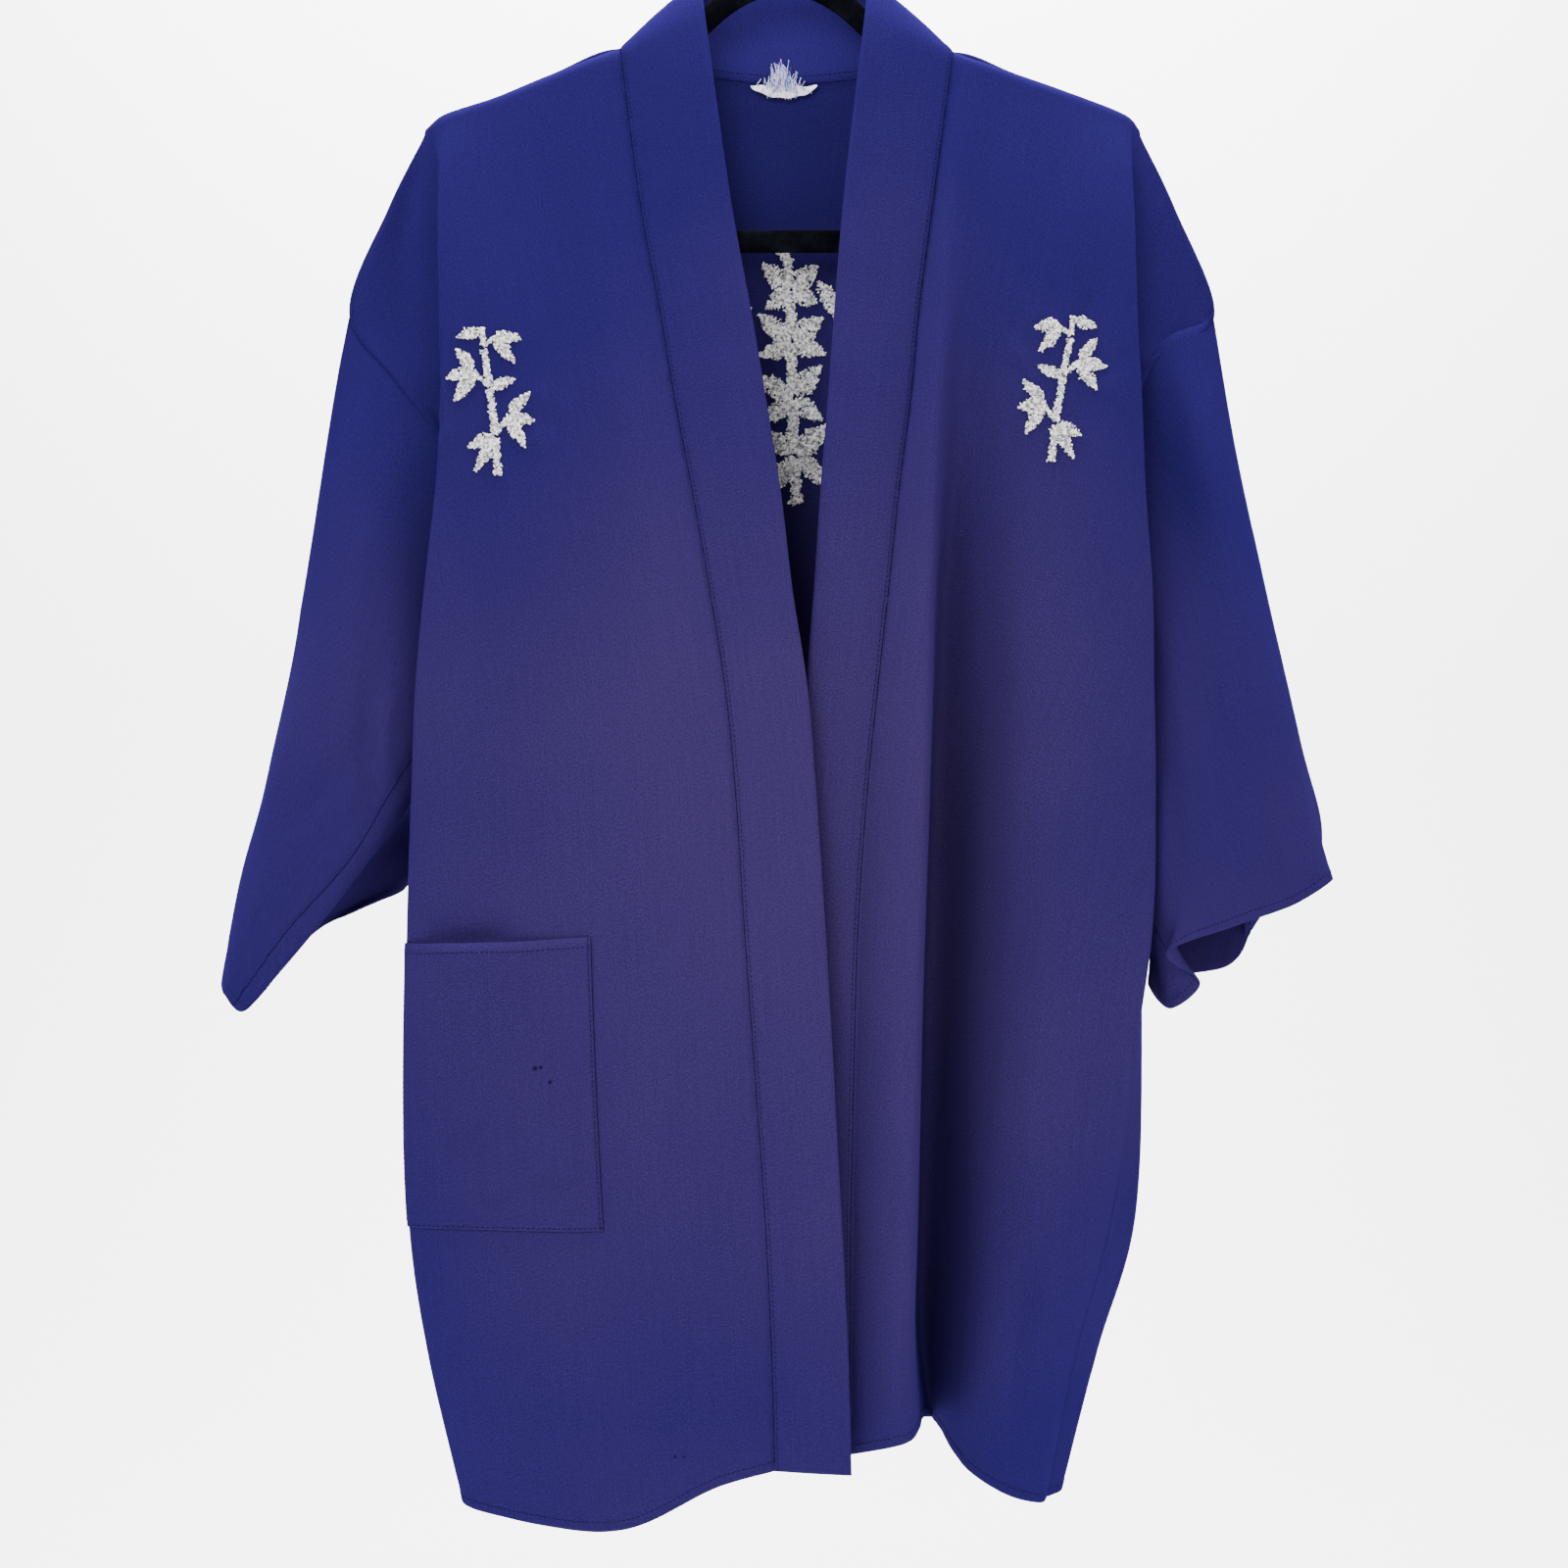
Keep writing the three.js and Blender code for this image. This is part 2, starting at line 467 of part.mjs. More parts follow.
// One frayed thread that stands up from the strip's upper edge and leans over.
function strand(index, edge) {
  const along = (index + 0.5) / STRANDS;
  const root = new THREE.CatmullRomCurve3(edge).getPoint(along);
  root.z -= STRAND_WIDTH;
  const fullness = 0.35 + 0.65 * Math.sin(Math.PI * along);
  const rise = LONGEST_STRAND * fullness * (0.6 + 0.4 * scatter(index));
  const lean = (scatter(index + 40) - 0.5) * 9;
  const out = -1 - 3 * scatter(index + 80);
  const shoulder = new THREE.Vector3(lean * 0.2, out, rise * 0.6).add(root);
  const tip = new THREE.Vector3(lean, out * 1.4, rise).add(root);
  return rod(new THREE.CatmullRomCurve3([root, shoulder, tip]), STRAND_WIDTH, 3, 3);
}

const wasm = await Module();
wasm.setup();

// A closed mesh as a solid that can be joined to others.
function solid(geometry) {
  const bare = geometry.clone();
  bare.deleteAttribute("normal");
  bare.deleteAttribute("uv");
  const merged = mergeVertices(bare, 1e-4);
  return new wasm.Manifold(new wasm.Mesh({
    numProp: 3,
    vertProperties: merged.attributes.position.array,
    triVerts: new Uint32Array(merged.index.array),
  }));
}

function labelGeometry() {
  const grid = labelGrid();
  let joined = solid(wall(grid, LABEL_CLOTH));
  for (let index = 0; index < STRANDS; index += 1) {
    joined = joined.add(solid(strand(index, grid[0])));
  }
  const { vertProperties, triVerts } = joined.getMesh();
  const geometry = new THREE.BufferGeometry();
  geometry.setAttribute("position", new THREE.Float32BufferAttribute(vertProperties, 3));
  geometry.setIndex(Array.from(triVerts));
  return geometry;
}

// ---- Hanger -----------------------------------------------------------------------------------

// One half of each outline of the hanger, from its middle above to its middle below.
const HANGER_OUTER = [
  [0, -72], [24, -76], [42, -92], [62, -113], [101, -135], [144, -151], [190, -166],
  [206, -175], [209, -188], [203, -212], [193, -236], [176, -248], [150, BAR_BOTTOM],
];
const HANGER_INNER = [
  [0, -92], [17, -95], [33, -104], [54, -122], [100, -147], [144, -162], [184, -178],
  [195, -187], [196, -198], [190, -216], [182, -229], [169, -234], [150, BAR_TOP],
];

// A closed, smooth outline from one half and its mirror image.
function mirrored(half) {
  const left = half.slice(1).reverse().map(([x, z]) => [-x, z]);
  const points = [...half, ...left].map(([x, z]) => new THREE.Vector3(x, 0, z));
  return smooth(points, Array(points.length).fill(2), true);
}

// The hanger's section at one place: from its outer edge to its inner edge and back.
function hangerSection(outer, inner) {
  const half = HANGER_THICKNESS / 2;
  const depth = outer.distanceTo(inner);
  const round = HANGER_ROUNDING;
  const corners = [
    [0, half - round], [round, half], [depth - round, half], [depth, half - round],
    [depth, round - half], [depth - round, -half], [round, -half], [0, round - half],
  ];
  return corners.map(([along, y]) => {
    const point = outer.clone().lerp(inner, along / depth);
    point.y = y;
    return point;
  });
}

// The hanger's body: two sloping arms under the shoulders, joined below by a straight bar.
function hangerGeometry() {
  const inner = mirrored(HANGER_INNER);
  const sections = mirrored(HANGER_OUTER).map((point, k) => hangerSection(point, inner[k]));
  return ring(sections);
}

// The hook: a straight shank above the arch that bends into an open ring over the origin.
function hookGeometry() {
  const centreZ = HOOK_WIRE / 2 - HOOK_RADIUS;
  const foot = HANGER_OUTER[0][1] + SEAM_GAP;
  const places = [[0, foot], [0, foot + 10], [0.8, foot + 20], [6, foot + 28]];
  for (let degrees = -50; degrees <= 165; degrees += 21.5) {
    const angle = THREE.MathUtils.degToRad(degrees);
    places.push([Math.cos(angle) * HOOK_RADIUS, centreZ + Math.sin(angle) * HOOK_RADIUS]);
  }
  const points = places.map(([x, z]) => new THREE.Vector3(x, 0, z));
  return rod(new THREE.CatmullRomCurve3(points, false, "centripetal"), HOOK_WIRE, 8, 30);
}

// ---- Assembly ---------------------------------------------------------------------------------

const haori = new THREE.Group();

function add(name, geometry, color, roughness = 0.55, metalness = 0) {
  const material = new THREE.MeshStandardMaterial({ color, roughness, metalness });
  const mesh = new THREE.Mesh(geometry, material);
  mesh.name = name;
  haori.add(mesh);
  return mesh;
}

add("right_front", wall(rightFront, CLOTH), CLOTH_BLUE);
add("left_front", wall(leftFront, CLOTH), CLOTH_BLUE);
add("back", wall(back, CLOTH), CLOTH_BLUE);
add("right_sleeve", wall(rightSleeve, CLOTH, true), CLOTH_BLUE);
add("left_sleeve", wall(leftSleeve, CLOTH, true), CLOTH_BLUE);
add("collar", wall(collarGrid(), COLLAR_CLOTH), COLLAR_BLUE);
add("pocket", wall(pocketGrid(), CLOTH), CLOTH_BLUE);
add("label_stub", labelGeometry(), LABEL_WHITE, 0.8);
add("hanger_body", hangerGeometry(), FLOCK_BLACK, 0.95);
add("hanger_hook", hookGeometry(), HOOK_STEEL, 0.25, 1);

export default haori;
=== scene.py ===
"""Finish of a satin haori that hangs open on a flocked coat hanger.

Lengths are millimetres in the tables and in the sizes of cloth and hanger; meshes, marks, flat
sizes and the studio are metres.
+X is to the viewer's right, the front faces -Y and +Z is up. The origin is inside the hook's top.
"""

import logging
import math
from dataclasses import dataclass
from enum import Enum

import bmesh
import bpy
import numpy as np
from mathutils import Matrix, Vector
from mathutils.bvhtree import BVHTree

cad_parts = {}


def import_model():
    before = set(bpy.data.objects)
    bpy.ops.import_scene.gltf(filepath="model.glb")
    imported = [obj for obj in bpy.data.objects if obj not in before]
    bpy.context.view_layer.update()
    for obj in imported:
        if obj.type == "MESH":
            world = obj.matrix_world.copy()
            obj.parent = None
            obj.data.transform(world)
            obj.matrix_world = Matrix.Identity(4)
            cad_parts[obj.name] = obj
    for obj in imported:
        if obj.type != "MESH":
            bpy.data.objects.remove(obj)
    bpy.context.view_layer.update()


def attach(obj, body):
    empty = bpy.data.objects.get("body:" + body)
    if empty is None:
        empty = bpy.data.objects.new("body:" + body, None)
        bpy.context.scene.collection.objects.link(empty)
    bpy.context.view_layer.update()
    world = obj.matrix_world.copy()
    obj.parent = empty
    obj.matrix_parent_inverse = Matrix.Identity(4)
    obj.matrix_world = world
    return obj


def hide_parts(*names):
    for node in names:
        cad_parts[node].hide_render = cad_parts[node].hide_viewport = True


LOG = logging.getLogger("haori")

Place = tuple[float, float, float]
Line = tuple[Place, ...]
Table = dict[str, Line]

MM = 0.001
BODY = "root"

# ---- How the cloth hangs ----
# Each row of a table is one section of a panel. Each place in it is on one fold line of the
# cloth: across, forward or back, up. The comment above a table names its fold lines.


def table(text: str) -> Table:
    """Reads a table of sections.

    Args:
        text: the name of each section and then its places, with spaces between them.

    Returns:
        The places of each section.
    """
    sections: dict[str, list[Place]] = {}
    for word in text.split():
        if word[0].isalpha():
            places = sections[word] = []
        else:
            x, y, z = (float(value) for value in word.split(","))
            places.append((x, y, z))
    return {name: tuple(places) for name, places in sections.items()}


# seam, chest, pocket, middle, edge, tuck, side
RIGHT_FRONT = table("""
    ridge -101,0,-125 -120,0,-132 -144,0,-142 -177,0,-155 -209,0,-166 -215,0,-171 -218,0,-174
    shoulder -100,-6,-132 -120,-6,-139 -144,-6,-148 -176,-6,-161 -209,-6,-174 -216,-4,-176 -220,0,-178
    collarbone -88,-12,-223 -112,-14,-225 -139,-12,-226 -174,-15,-227 -210,-18,-228 -204,-9,-226
      -242,0,-222
    crown -75,-18,-293 -102,-23,-295 -133,-20,-296 -172,-25,-297 -209,-27,-298 -201,-12,-295 -266,0,-289
    breast -68,-22,-335 -94,-29,-336 -129,-25,-336 -170,-29,-337 -208,-30,-339 -198,-13,-332 -237,-9,-329
    armhole -56,-28,-398 -85,-36,-398 -125,-30,-398 -168,-35,-398 -211,-32,-398 -194,-14,-390
      -209,-11,-369
    rib -46,-33,-454 -77,-42,-456 -122,-35,-457 -167,-40,-457 -216,-34,-457 -191,-13,-456 -200,-4,-440
    underarm -36,-38,-516 -70,-47,-516 -119,-40,-516 -166,-43,-516 -221,-35,-516 -189,-10,-515 -198,2,-509
    waist -30,-42,-575 -64,-50,-575 -116,-44,-575 -166,-46,-575 -223,-36,-575 -186,-7,-575 -202,6,-575
    pocket_top -24,-48,-665 -58,-55,-665 -115,-49,-666 -168,-49,-669 -225,-36,-670 -184,-4,-668
      -210,13,-671
    pocket_foot -12,-57,-830 -51,-60,-833 -107,-56,-840 -163,-54,-840 -224,-34,-840 -182,-2,-839
      -213,18,-844
    skirt -8,-60,-911 -45,-64,-916 -100,-60,-923 -154,-56,-921 -214,-29,-917 -176,-1,-911 -206,18,-917
    hem -6,-62,-981 -38,-67,-989 -93,-64,-1015 -139,-57,-1015 -194,-24,-1007 -168,2,-995 -186,13,-995
""")

# seam, ridge, valley, slope, crown, edge, tuck, side
LEFT_FRONT = table("""
    ridge 104,0,-127 111,0,-130 129,0,-136 156,0,-146 183,0,-155 209,0,-166 214,0,-170 216,0,-174
    shoulder 103,-6,-134 111,-6,-136 129,-5,-143 156,-6,-152 182,-6,-162 210,-6,-173 214,-4,-176
      218,0,-178
    collarbone 91,-12,-223 100,-18,-224 119,-14,-224 155,-16,-225 185,-20,-227 212,-20,-228 207,-9,-226
      239,0,-222
    crown 82,-17,-292 96,-28,-296 112,-18,-296 153,-22,-297 187,-27,-298 213,-28,-300 203,-12,-296
      263,0,-291
    breast 78,-21,-335 92,-33,-337 108,-15,-337 152,-24,-338 188,-30,-339 215,-31,-339 200,-13,-335
      232,-12,-310
    armhole 70,-25,-397 89,-39,-399 103,-6,-395 150,-25,-397 189,-32,-398 217,-33,-398 196,-14,-396
      209,-6,-360
    rib 64,-28,-454 86,-43,-458 99,4,-455 148,-26,-457 188,-34,-457 221,-35,-457 194,-12,-456 200,-2,-437
    underarm 57,-30,-516 84,-47,-516 97,12,-514 146,-26,-516 187,-35,-516 222,-35,-516 195,-10,-515
      199,3,-509
    waist 51,-32,-575 82,-50,-575 95,21,-575 144,-25,-575 185,-34,-575 223,-34,-575 202,-9,-575 206,4,-575
    hip 45,-36,-666 79,-53,-662 93,27,-666 140,-22,-667 179,-32,-667 221,-28,-669 215,-20,-674
      218,-12,-685
    thigh 41,-42,-827 74,-57,-828 87,33,-844 127,-19,-836 163,-29,-835 191,-23,-835 195,-19,-837
      198,-15,-838
    skirt 40,-45,-908 71,-59,-900 86,35,-914 119,-18,-916 151,-26,-921 171,-18,-919 174,-14,-921
      177,-10,-922
    hem 40,-46,-975 70,-60,-966 92,37,-970 112,-18,-991 136,-24,-1005 155,-15,-1011 158,-11,-1011
      160,-7,-1009
""")

# side_r, flank_r, fold_r, hollow_r, neck_r, nape_r, centre,
# nape_l, neck_l, hollow_l, fold_l, flank_l, side_l
BACK = table("""
    ridge -218,0,-174 -214,0,-170 -177,0,-155 -141,0,-140 -101,0,-125 -51,15,-138 0,20,-142 51,15,-139
      104,0,-127 141,0,-140 180,0,-154 211,0,-168 216,0,-174
    shoulder -220,0,-178 -216,4,-174 -178,6,-159 -141,6,-144 -101,6,-129 -51,16,-144 0,22,-148 51,16,-145
      104,6,-131 141,6,-144 181,6,-158 213,4,-173 218,0,-178
    collarbone -242,0,-222 -217,9,-221 -178,16,-220 -138,14,-220 -97,18,-220 -50,22,-219 0,25,-218
      51,22,-219 98,18,-220 139,15,-220 179,17,-220 211,10,-221 239,0,-222
    crown -266,0,-289 -225,13,-288 -179,27,-289 -136,20,-290 -94,28,-288 -47,25,-289 0,30,-288 50,25,-289
      95,28,-288 138,22,-289 180,28,-288 218,14,-288 263,0,-291
    breast -239,7,-327 -201,20,-329 -177,32,-327 -136,23,-329 -93,32,-327 -46,27,-328 0,32,-327 49,27,-328
      94,33,-327 138,25,-328 177,34,-327 199,20,-329 235,5,-308
    armhole -212,13,-366 -198,29,-386 -175,40,-391 -134,27,-392 -91,38,-391 -45,30,-392 0,35,-391
      48,30,-392 93,40,-391 138,29,-392 176,42,-391 194,29,-386 211,12,-357
    rib -202,13,-439 -193,34,-449 -174,46,-452 -132,30,-453 -89,43,-452 -43,33,-453 0,38,-452 46,34,-453
      93,47,-452 138,34,-453 175,48,-452 191,33,-450 201,15,-436
    underarm -198,3,-509 -191,28,-512 -173,50,-513 -131,32,-514 -88,47,-513 -43,36,-514 0,41,-513
      46,38,-514 93,52,-513 139,38,-514 175,52,-513 191,28,-512 199,4,-509
    waist -202,7,-575 -201,30,-575 -173,54,-575 -130,34,-575 -88,50,-575 -42,38,-575 0,44,-575 46,42,-575
      94,56,-575 140,42,-575 178,54,-575 205,28,-575 206,5,-575
    hip -210,14,-672 -216,38,-670 -177,58,-668 -128,35,-667 -88,54,-668 -42,40,-667 0,47,-667 47,46,-667
      95,61,-668 140,46,-667 182,54,-668 217,22,-681 218,-11,-685
    thigh -213,19,-845 -229,44,-845 -180,62,-839 -127,36,-835 -89,59,-838 -41,42,-836 0,52,-837 48,51,-837
      96,66,-839 137,52,-837 173,58,-838 215,4,-842 198,-14,-839
    skirt -206,19,-917 -223,46,-919 -178,64,-913 -126,37,-909 -88,61,-913 -41,44,-910 0,54,-912 49,54,-912
      95,68,-914 131,55,-912 161,58,-912 192,4,-922 177,-9,-922
    hem -186,14,-995 -205,44,-992 -168,62,-986 -123,38,-980 -87,62,-983 -39,46,-980 0,56,-981 51,56,-977
      93,68,-977 125,56,-978 148,54,-989 170,4,-1007 160,-6,-1010
""")

# crown_front, front_a, front_b, front_c, seam, turn, back_c, back_b, back_a, crown_back
RIGHT_SLEEVE = table("""
    drop -281,-4,-370 -268,-14,-378 -237,-16,-399 -211,-8,-455 -205,-1,-520 -207,4,-522 -217,12,-478
      -235,17,-417 -263,18,-381 -280,6,-371
    elbow -294,-4,-449 -276,-20,-462 -252,-24,-477 -225,-20,-504 -213,-9,-540 -211,5,-545 -213,24,-520
      -231,36,-480 -266,34,-453 -289,16,-446
    forearm -311,2,-540 -303,-18,-549 -278,-28,-560 -250,-28,-570 -230,-22,-567 -223,-10,-577 -230,6,-582
      -233,36,-563 -265,46,-544 -296,32,-535
    wrist -329,12,-616 -329,-6,-629 -313,-22,-635 -289,-26,-633 -263,-25,-621 -247,-17,-614 -257,2,-623
      -231,30,-613 -256,50,-603 -301,40,-596
    heel -337,16,-650 -338,-2,-668 -331,-13,-675 -317,-18,-673 -301,-20,-664 -285,-17,-663 -289,4,-663
      -233,28,-630 -251,48,-617 -307,44,-618
    cuff -343,20,-677 -345,4,-696 -342,-5,-702 -339,-10,-705 -335,-14,-710 -329,-16,-713 -289,8,-666
      -234,20,-639 -246,44,-630 -314,46,-633
""")

# crown_front, front_a, front_b, front_c, seam, turn, back_c, back_b, back_a, crown_back
LEFT_SLEEVE = table("""
    drop 275,-4,-370 256,-20,-378 238,-9,-396 218,-13,-450 209,-2,-518 210,4,-522 219,12,-478 236,17,-411
      258,20,-378 275,7,-370
    elbow 293,-4,-454 274,-24,-464 250,-22,-480 229,-24,-510 216,-12,-554 217,4,-560 224,26,-529
      246,36,-486 276,30,-460 293,12,-453
    forearm 314,-4,-544 294,-26,-556 266,-28,-568 239,-28,-585 222,-18,-612 222,0,-619 233,27,-600
      262,36,-575 296,30,-554 313,12,-545
    wrist 328,-6,-611 306,-26,-624 273,-29,-635 242,-28,-647 227,-14,-664 226,0,-676 228,16,-663
      275,33,-639 311,28,-622 327,8,-613
    cuff 334,-6,-633 308,-23,-648 273,-28,-660 231,-24,-678 253,-14,-696 235,-5,-712 225,6,-697
      275,18,-687 285,24,-675 287,22,-650
""")

COLLAR_RIGHT: Line = (
    (-51, 4, -81), (-48, -6, -106), (-32, -14, -221), (-19, -20, -293), (-12, -25, -335),
    (-2, -32, -398), (5, -37, -457), (14, -42, -516), (19, -45, -575), (25, -51, -665),
    (34, -60, -830), (38, -63, -911), (40, -65, -983),
)

COLLAR_LEFT: Line = (
    (52, 4, -81), (49, -6, -107), (36, -13, -220), (30, -18, -293), (27, -21, -335),
    (22, -25, -397), (18, -27, -457), (13, -30, -516), (7, -31, -575), (0, -34, -666),
    (-6, -40, -827), (-7, -43, -909), (-8, -44, -976),
)

COLLAR_NAPE: Line = (
    (-51, 4, -81), (-35, 26, -74), (0, 36, -73), (37, 26, -74), (52, 4, -81),
)

# Fine steps from one row to the next and between neighbouring fold lines.
ROW_STEPS = (5, 16, 16, 10, 12, 12, 12, 12, 18, 30, 16, 36)
RIGHT_FRONT_STEPS = (20, 12, 12, 18, 12, 12)
LEFT_FRONT_STEPS = (14, 16, 16, 14, 12, 12, 12)
BACK_STEPS = (10,) * (len(BACK["ridge"]) - 1)
ARMHOLE_FIRST, ARMHOLE_LAST = "crown", "underarm"
RING_STEPS = 16
SLEEVE_STEPS = 14
CUFF_STEPS = 36
NAPE_STEPS = 40
# How strongly steps crowd towards a hem or a seam.
EDGE_EASE = 1.6

# Walls, and what a seam leaves between the pieces that it joins.
CLOTH = 0.9
COLLAR_CLOTH = 2.3
SEAM_GAP = 0.1
SEAM_SETBACK = 0.5
COLLAR_SEAM = 0.25
SLEEVE_SEAM = 0.6
# How far a sleeve reaches under the armhole's edge.
SEAM_ALLOWANCE = 6.0
# Which fold line of a sleeve is its underarm seam.
SLEEVE_SEAM_LINE = 4
# Spans of the back between its side and the neck.
NECK_SPANS = 4
HEM_WIDTH = 6.5
# From the foot to the line of stitches that holds the hem.
HEM_STITCH = HEM_WIDTH - 0.7

STITCH_PITCH = 3.0
TOPSTITCH_WIDTH, TOPSTITCH_HEIGHT = 0.5, 0.35
# Dark thread laid in the ditch of a seam, as painted shade of the ditch.
DITCH_PITCH = 2.4
DITCH_FILL = 1.05
DITCH_WIDTH, DITCH_HEIGHT = 0.55, 0.4
# One stitch's bead, before it is drawn out to the thread's length, width and height.
BEAD_SEGMENTS = 6
BEAD_RINGS = 3
BEAD_RADIUS = 0.56


class Side(Enum):
    """Which face of a grid is the outside of the garment."""

    OUT = 1.0
    IN = -1.0


# ---- Colour ----


def linear(code: str) -> tuple[float, float, float, float]:
    """Turns an sRGB hex colour into linear RGBA.

    Args:
        code: colour such as "#2b2f8a".

    Returns:
        Linear red, green, blue and alpha.
    """
    channels = [int(code[i:i + 2], 16) / 255 for i in (1, 3, 5)]
    flat = [c / 12.92 if c <= 0.04045 else ((c + 0.055) / 1.055) ** 2.4 for c in channels]
    return flat[0], flat[1], flat[2], 1.0


# ---- Materials ----


def add_node(tree: bpy.types.NodeTree, kind: str, settings: dict | None = None,
             **inputs: object) -> bpy.types.Node:
    """Adds a node to a tree.

    Args:
        tree: the tree.
        kind: the node's class.
        settings: attributes to set on the node.
        inputs: value or output socket for each input, by its name with _ for a space, or by
            its index as i0, i1 and so on.

    Returns:
        The new node.
    """
    node = tree.nodes.new(kind)
    for name, value in (settings or {}).items():
        setattr(node, name, value)
    for name, value in inputs.items():
        by_index = name[0] == "i" and name[1:].isdigit()
        socket = node.inputs[int(name[1:]) if by_index else name.replace("_", " ")]
        if isinstance(value, bpy.types.NodeSocket):
            tree.links.new(value, socket)
        else:
            socket.default_value = value
    return node


class NodeTree:
    """A material's node tree, built one node at a time."""

    def __init__(self, name: str) -> None:
        """Starts an empty tree.

        Args:
            name: the material's name.
        """
        self.material = bpy.data.materials.new(name)
        self.material.use_nodes = True
        self.tree = self.material.node_tree
        self.tree.nodes.clear()

    def add(self, kind: str, settings: dict | None = None, **inputs: object) -> bpy.types.Node:
        """Adds a shader node; its class is given without the ShaderNode prefix."""
        return add_node(self.tree, "ShaderNode" + kind, settings, **inputs)

    def math(self, operation: str, *values: object, clamp: bool = False) -> bpy.types.NodeSocket:
        """Adds a maths node.

        Args:
            operation: what it does.
            values: a number or an output socket for each of its inputs.
            clamp: whether the result is kept from 0 to 1.

        Returns:
            The result.
        """
        inputs = {f"i{index}": value for index, value in enumerate(values)}
        settings = {"operation": operation, "use_clamp": clamp}
        return self.add("Math", settings, **inputs).outputs[0]

    def ramp(self, factor: bpy.types.NodeSocket, *stops: tuple[float, str]) -> bpy.types.Node:
        """Adds a colour ramp.

        Args:
            factor: what drives the ramp.
            stops: (position, hex colour) from low to high.

        Returns:
            The ramp node.
        """
        node = self.add("ValToRGB", Fac=factor)
        elements = node.color_ramp.elements
        while len(elements) < len(stops):
            elements.new(0.5)
        for element, (position, code) in zip(elements, stops):
            element.position = position
            element.color = linear(code)
        return node

    def finish(self, shader: bpy.types.Node) -> bpy.types.Material:
        """Joins a shader to the output.

        Args:
            shader: the surface shader.

        Returns:
            The finished material.
        """
        self.add("OutputMaterial", Surface=shader.outputs[0])
        return self.material


@dataclass(frozen=True)
class Satin:
    """Polyester satin, dyed blue-violet, with a fine twill line."""

    name: str = "polyester_satin"
    # blue and violet are the two ends of a colour shift that is mostly painted light and shade.
    blue: str = "#1d1548"
    violet: str = "#2e234b"
    deep: str = "#0e0b2c"
    sheen: str = "#3a3fc8"
    twill_mm: float = 0.6
    twill_turn: float = 62.0
    roughness: float = 0.6
    mark_tint: str = "#07061c"
    # Water and dust marks: (across, depth, up) in metres, with the radius in mm.
    marks: tuple[tuple[Place, float], ...] = (
        ((-0.148, -0.052, -0.7438), 1.6), ((-0.1445, -0.052, -0.7432), 1.2),
        ((-0.139, -0.052, -0.752), 1.3), ((-0.0643, -0.062, -0.9716), 1.2),
        ((-0.059, -0.062, -0.9716), 1.0),
    )

    def make(self) -> bpy.types.Material:
        """Builds the cloth material.

        Returns:
            The material.
        """
        tree = NodeTree(self.name)
        place = tree.add("TexCoord")
        cloth = tree.add("UVMap", {"uv_map": "cloth"})
        # Painted light and shade: the colour is made bluer over the shoulders, on the sleeves and at the
        # hem, and more violet in the middle, after how light and sheen fall on the coat, with a random
        # drift of tone on top.
        split = tree.add("SeparateXYZ", Vector=place.outputs["Object"])
        height = tree.add("MapRange", Value=split.outputs["Z"], i1=-0.55, i2=-0.2, i4=0.8)
        skirt = tree.add("MapRange", Value=split.outputs["Z"], i1=-0.7, i2=-0.95, i4=0.55)
        ends = tree.math("ADD", height.outputs[0], skirt.outputs[0])
        middle = tree.math("ABSOLUTE", split.outputs["X"])
        outwards = tree.add("MapRange", Value=middle, i1=0.08, i2=0.28, i4=0.55)
        wander = tree.add("TexNoise", Vector=place.outputs["Object"], Scale=4.5, Detail=2.0)
        drift = tree.math("MULTIPLY_ADD", wander.outputs["Fac"], 1.0, -0.4)
        wide = tree.math("ADD", ends, outwards.outputs[0])
        tone = tree.math("ADD", wide, drift, clamp=True)
        drift_and_painted_light = tree.ramp(tone, (0.05, self.violet), (0.95, self.blue))
        # Slubs: faint streaks along the warp.
        warp = tree.add("Mapping", Vector=cloth.outputs[0], Scale=(900.0, 12.0, 1.0))
        slub = tree.add("TexNoise", Vector=warp.outputs[0], Scale=1.0, Detail=3.0)
        streak = tree.add("MapRange", Value=slub.outputs["Fac"], i1=0.35, i2=0.75, i3=0.0, i4=0.12)
        streaked = tree.add("Mix", {"data_type": "RGBA"}, i0=streak.outputs[0],
                            i6=drift_and_painted_light.outputs[0], i7=linear(self.deep))
        # The satin catches the light in specks of about a millimetre.
        speck = tree.add("TexNoise", Vector=cloth.outputs[0], Scale=850.0, Detail=2.0)
        glint = tree.add("MapRange", Value=speck.outputs["Fac"], i1=0.38, i2=0.62, i3=0.85, i4=1.15)
        flecked = tree.add("HueSaturation", Value=glint.outputs[0], Color=streaked.outputs[2])
        stain = self.stained(tree, place.outputs["Object"])
        colour = tree.add("Mix", {"data_type": "RGBA"}, i0=stain, i6=flecked.outputs[0],
                          i7=linear(self.mark_tint))
        # Twill: fine diagonal lines. A wave texture of scale 1 repeats every 1 / 6.28 m.
        turned = tree.add("Mapping", Vector=cloth.outputs[0],
                          Rotation=(0.0, 0.0, math.radians(self.twill_turn)))
        twill = tree.add("TexWave", Vector=turned.outputs[0], Scale=1000.0 / self.twill_mm / 6.28)
        grain = tree.add("TexNoise", Vector=cloth.outputs[0], Scale=1400.0, Detail=1.0)
        relief = tree.math("MULTIPLY_ADD", twill.outputs["Fac"], 0.6, grain.outputs["Fac"])
        bump = tree.add("Bump", Height=relief, Strength=0.25, Distance=0.0002)
        shader = tree.add("BsdfPrincipled", Base_Color=colour.outputs[2],
                          Roughness=self.roughness, Normal=bump.outputs[0], Sheen_Weight=0.05,
                          Sheen_Roughness=0.4, Sheen_Tint=linear(self.sheen),
                          Specular_IOR_Level=0.0)
        return tree.finish(shader)

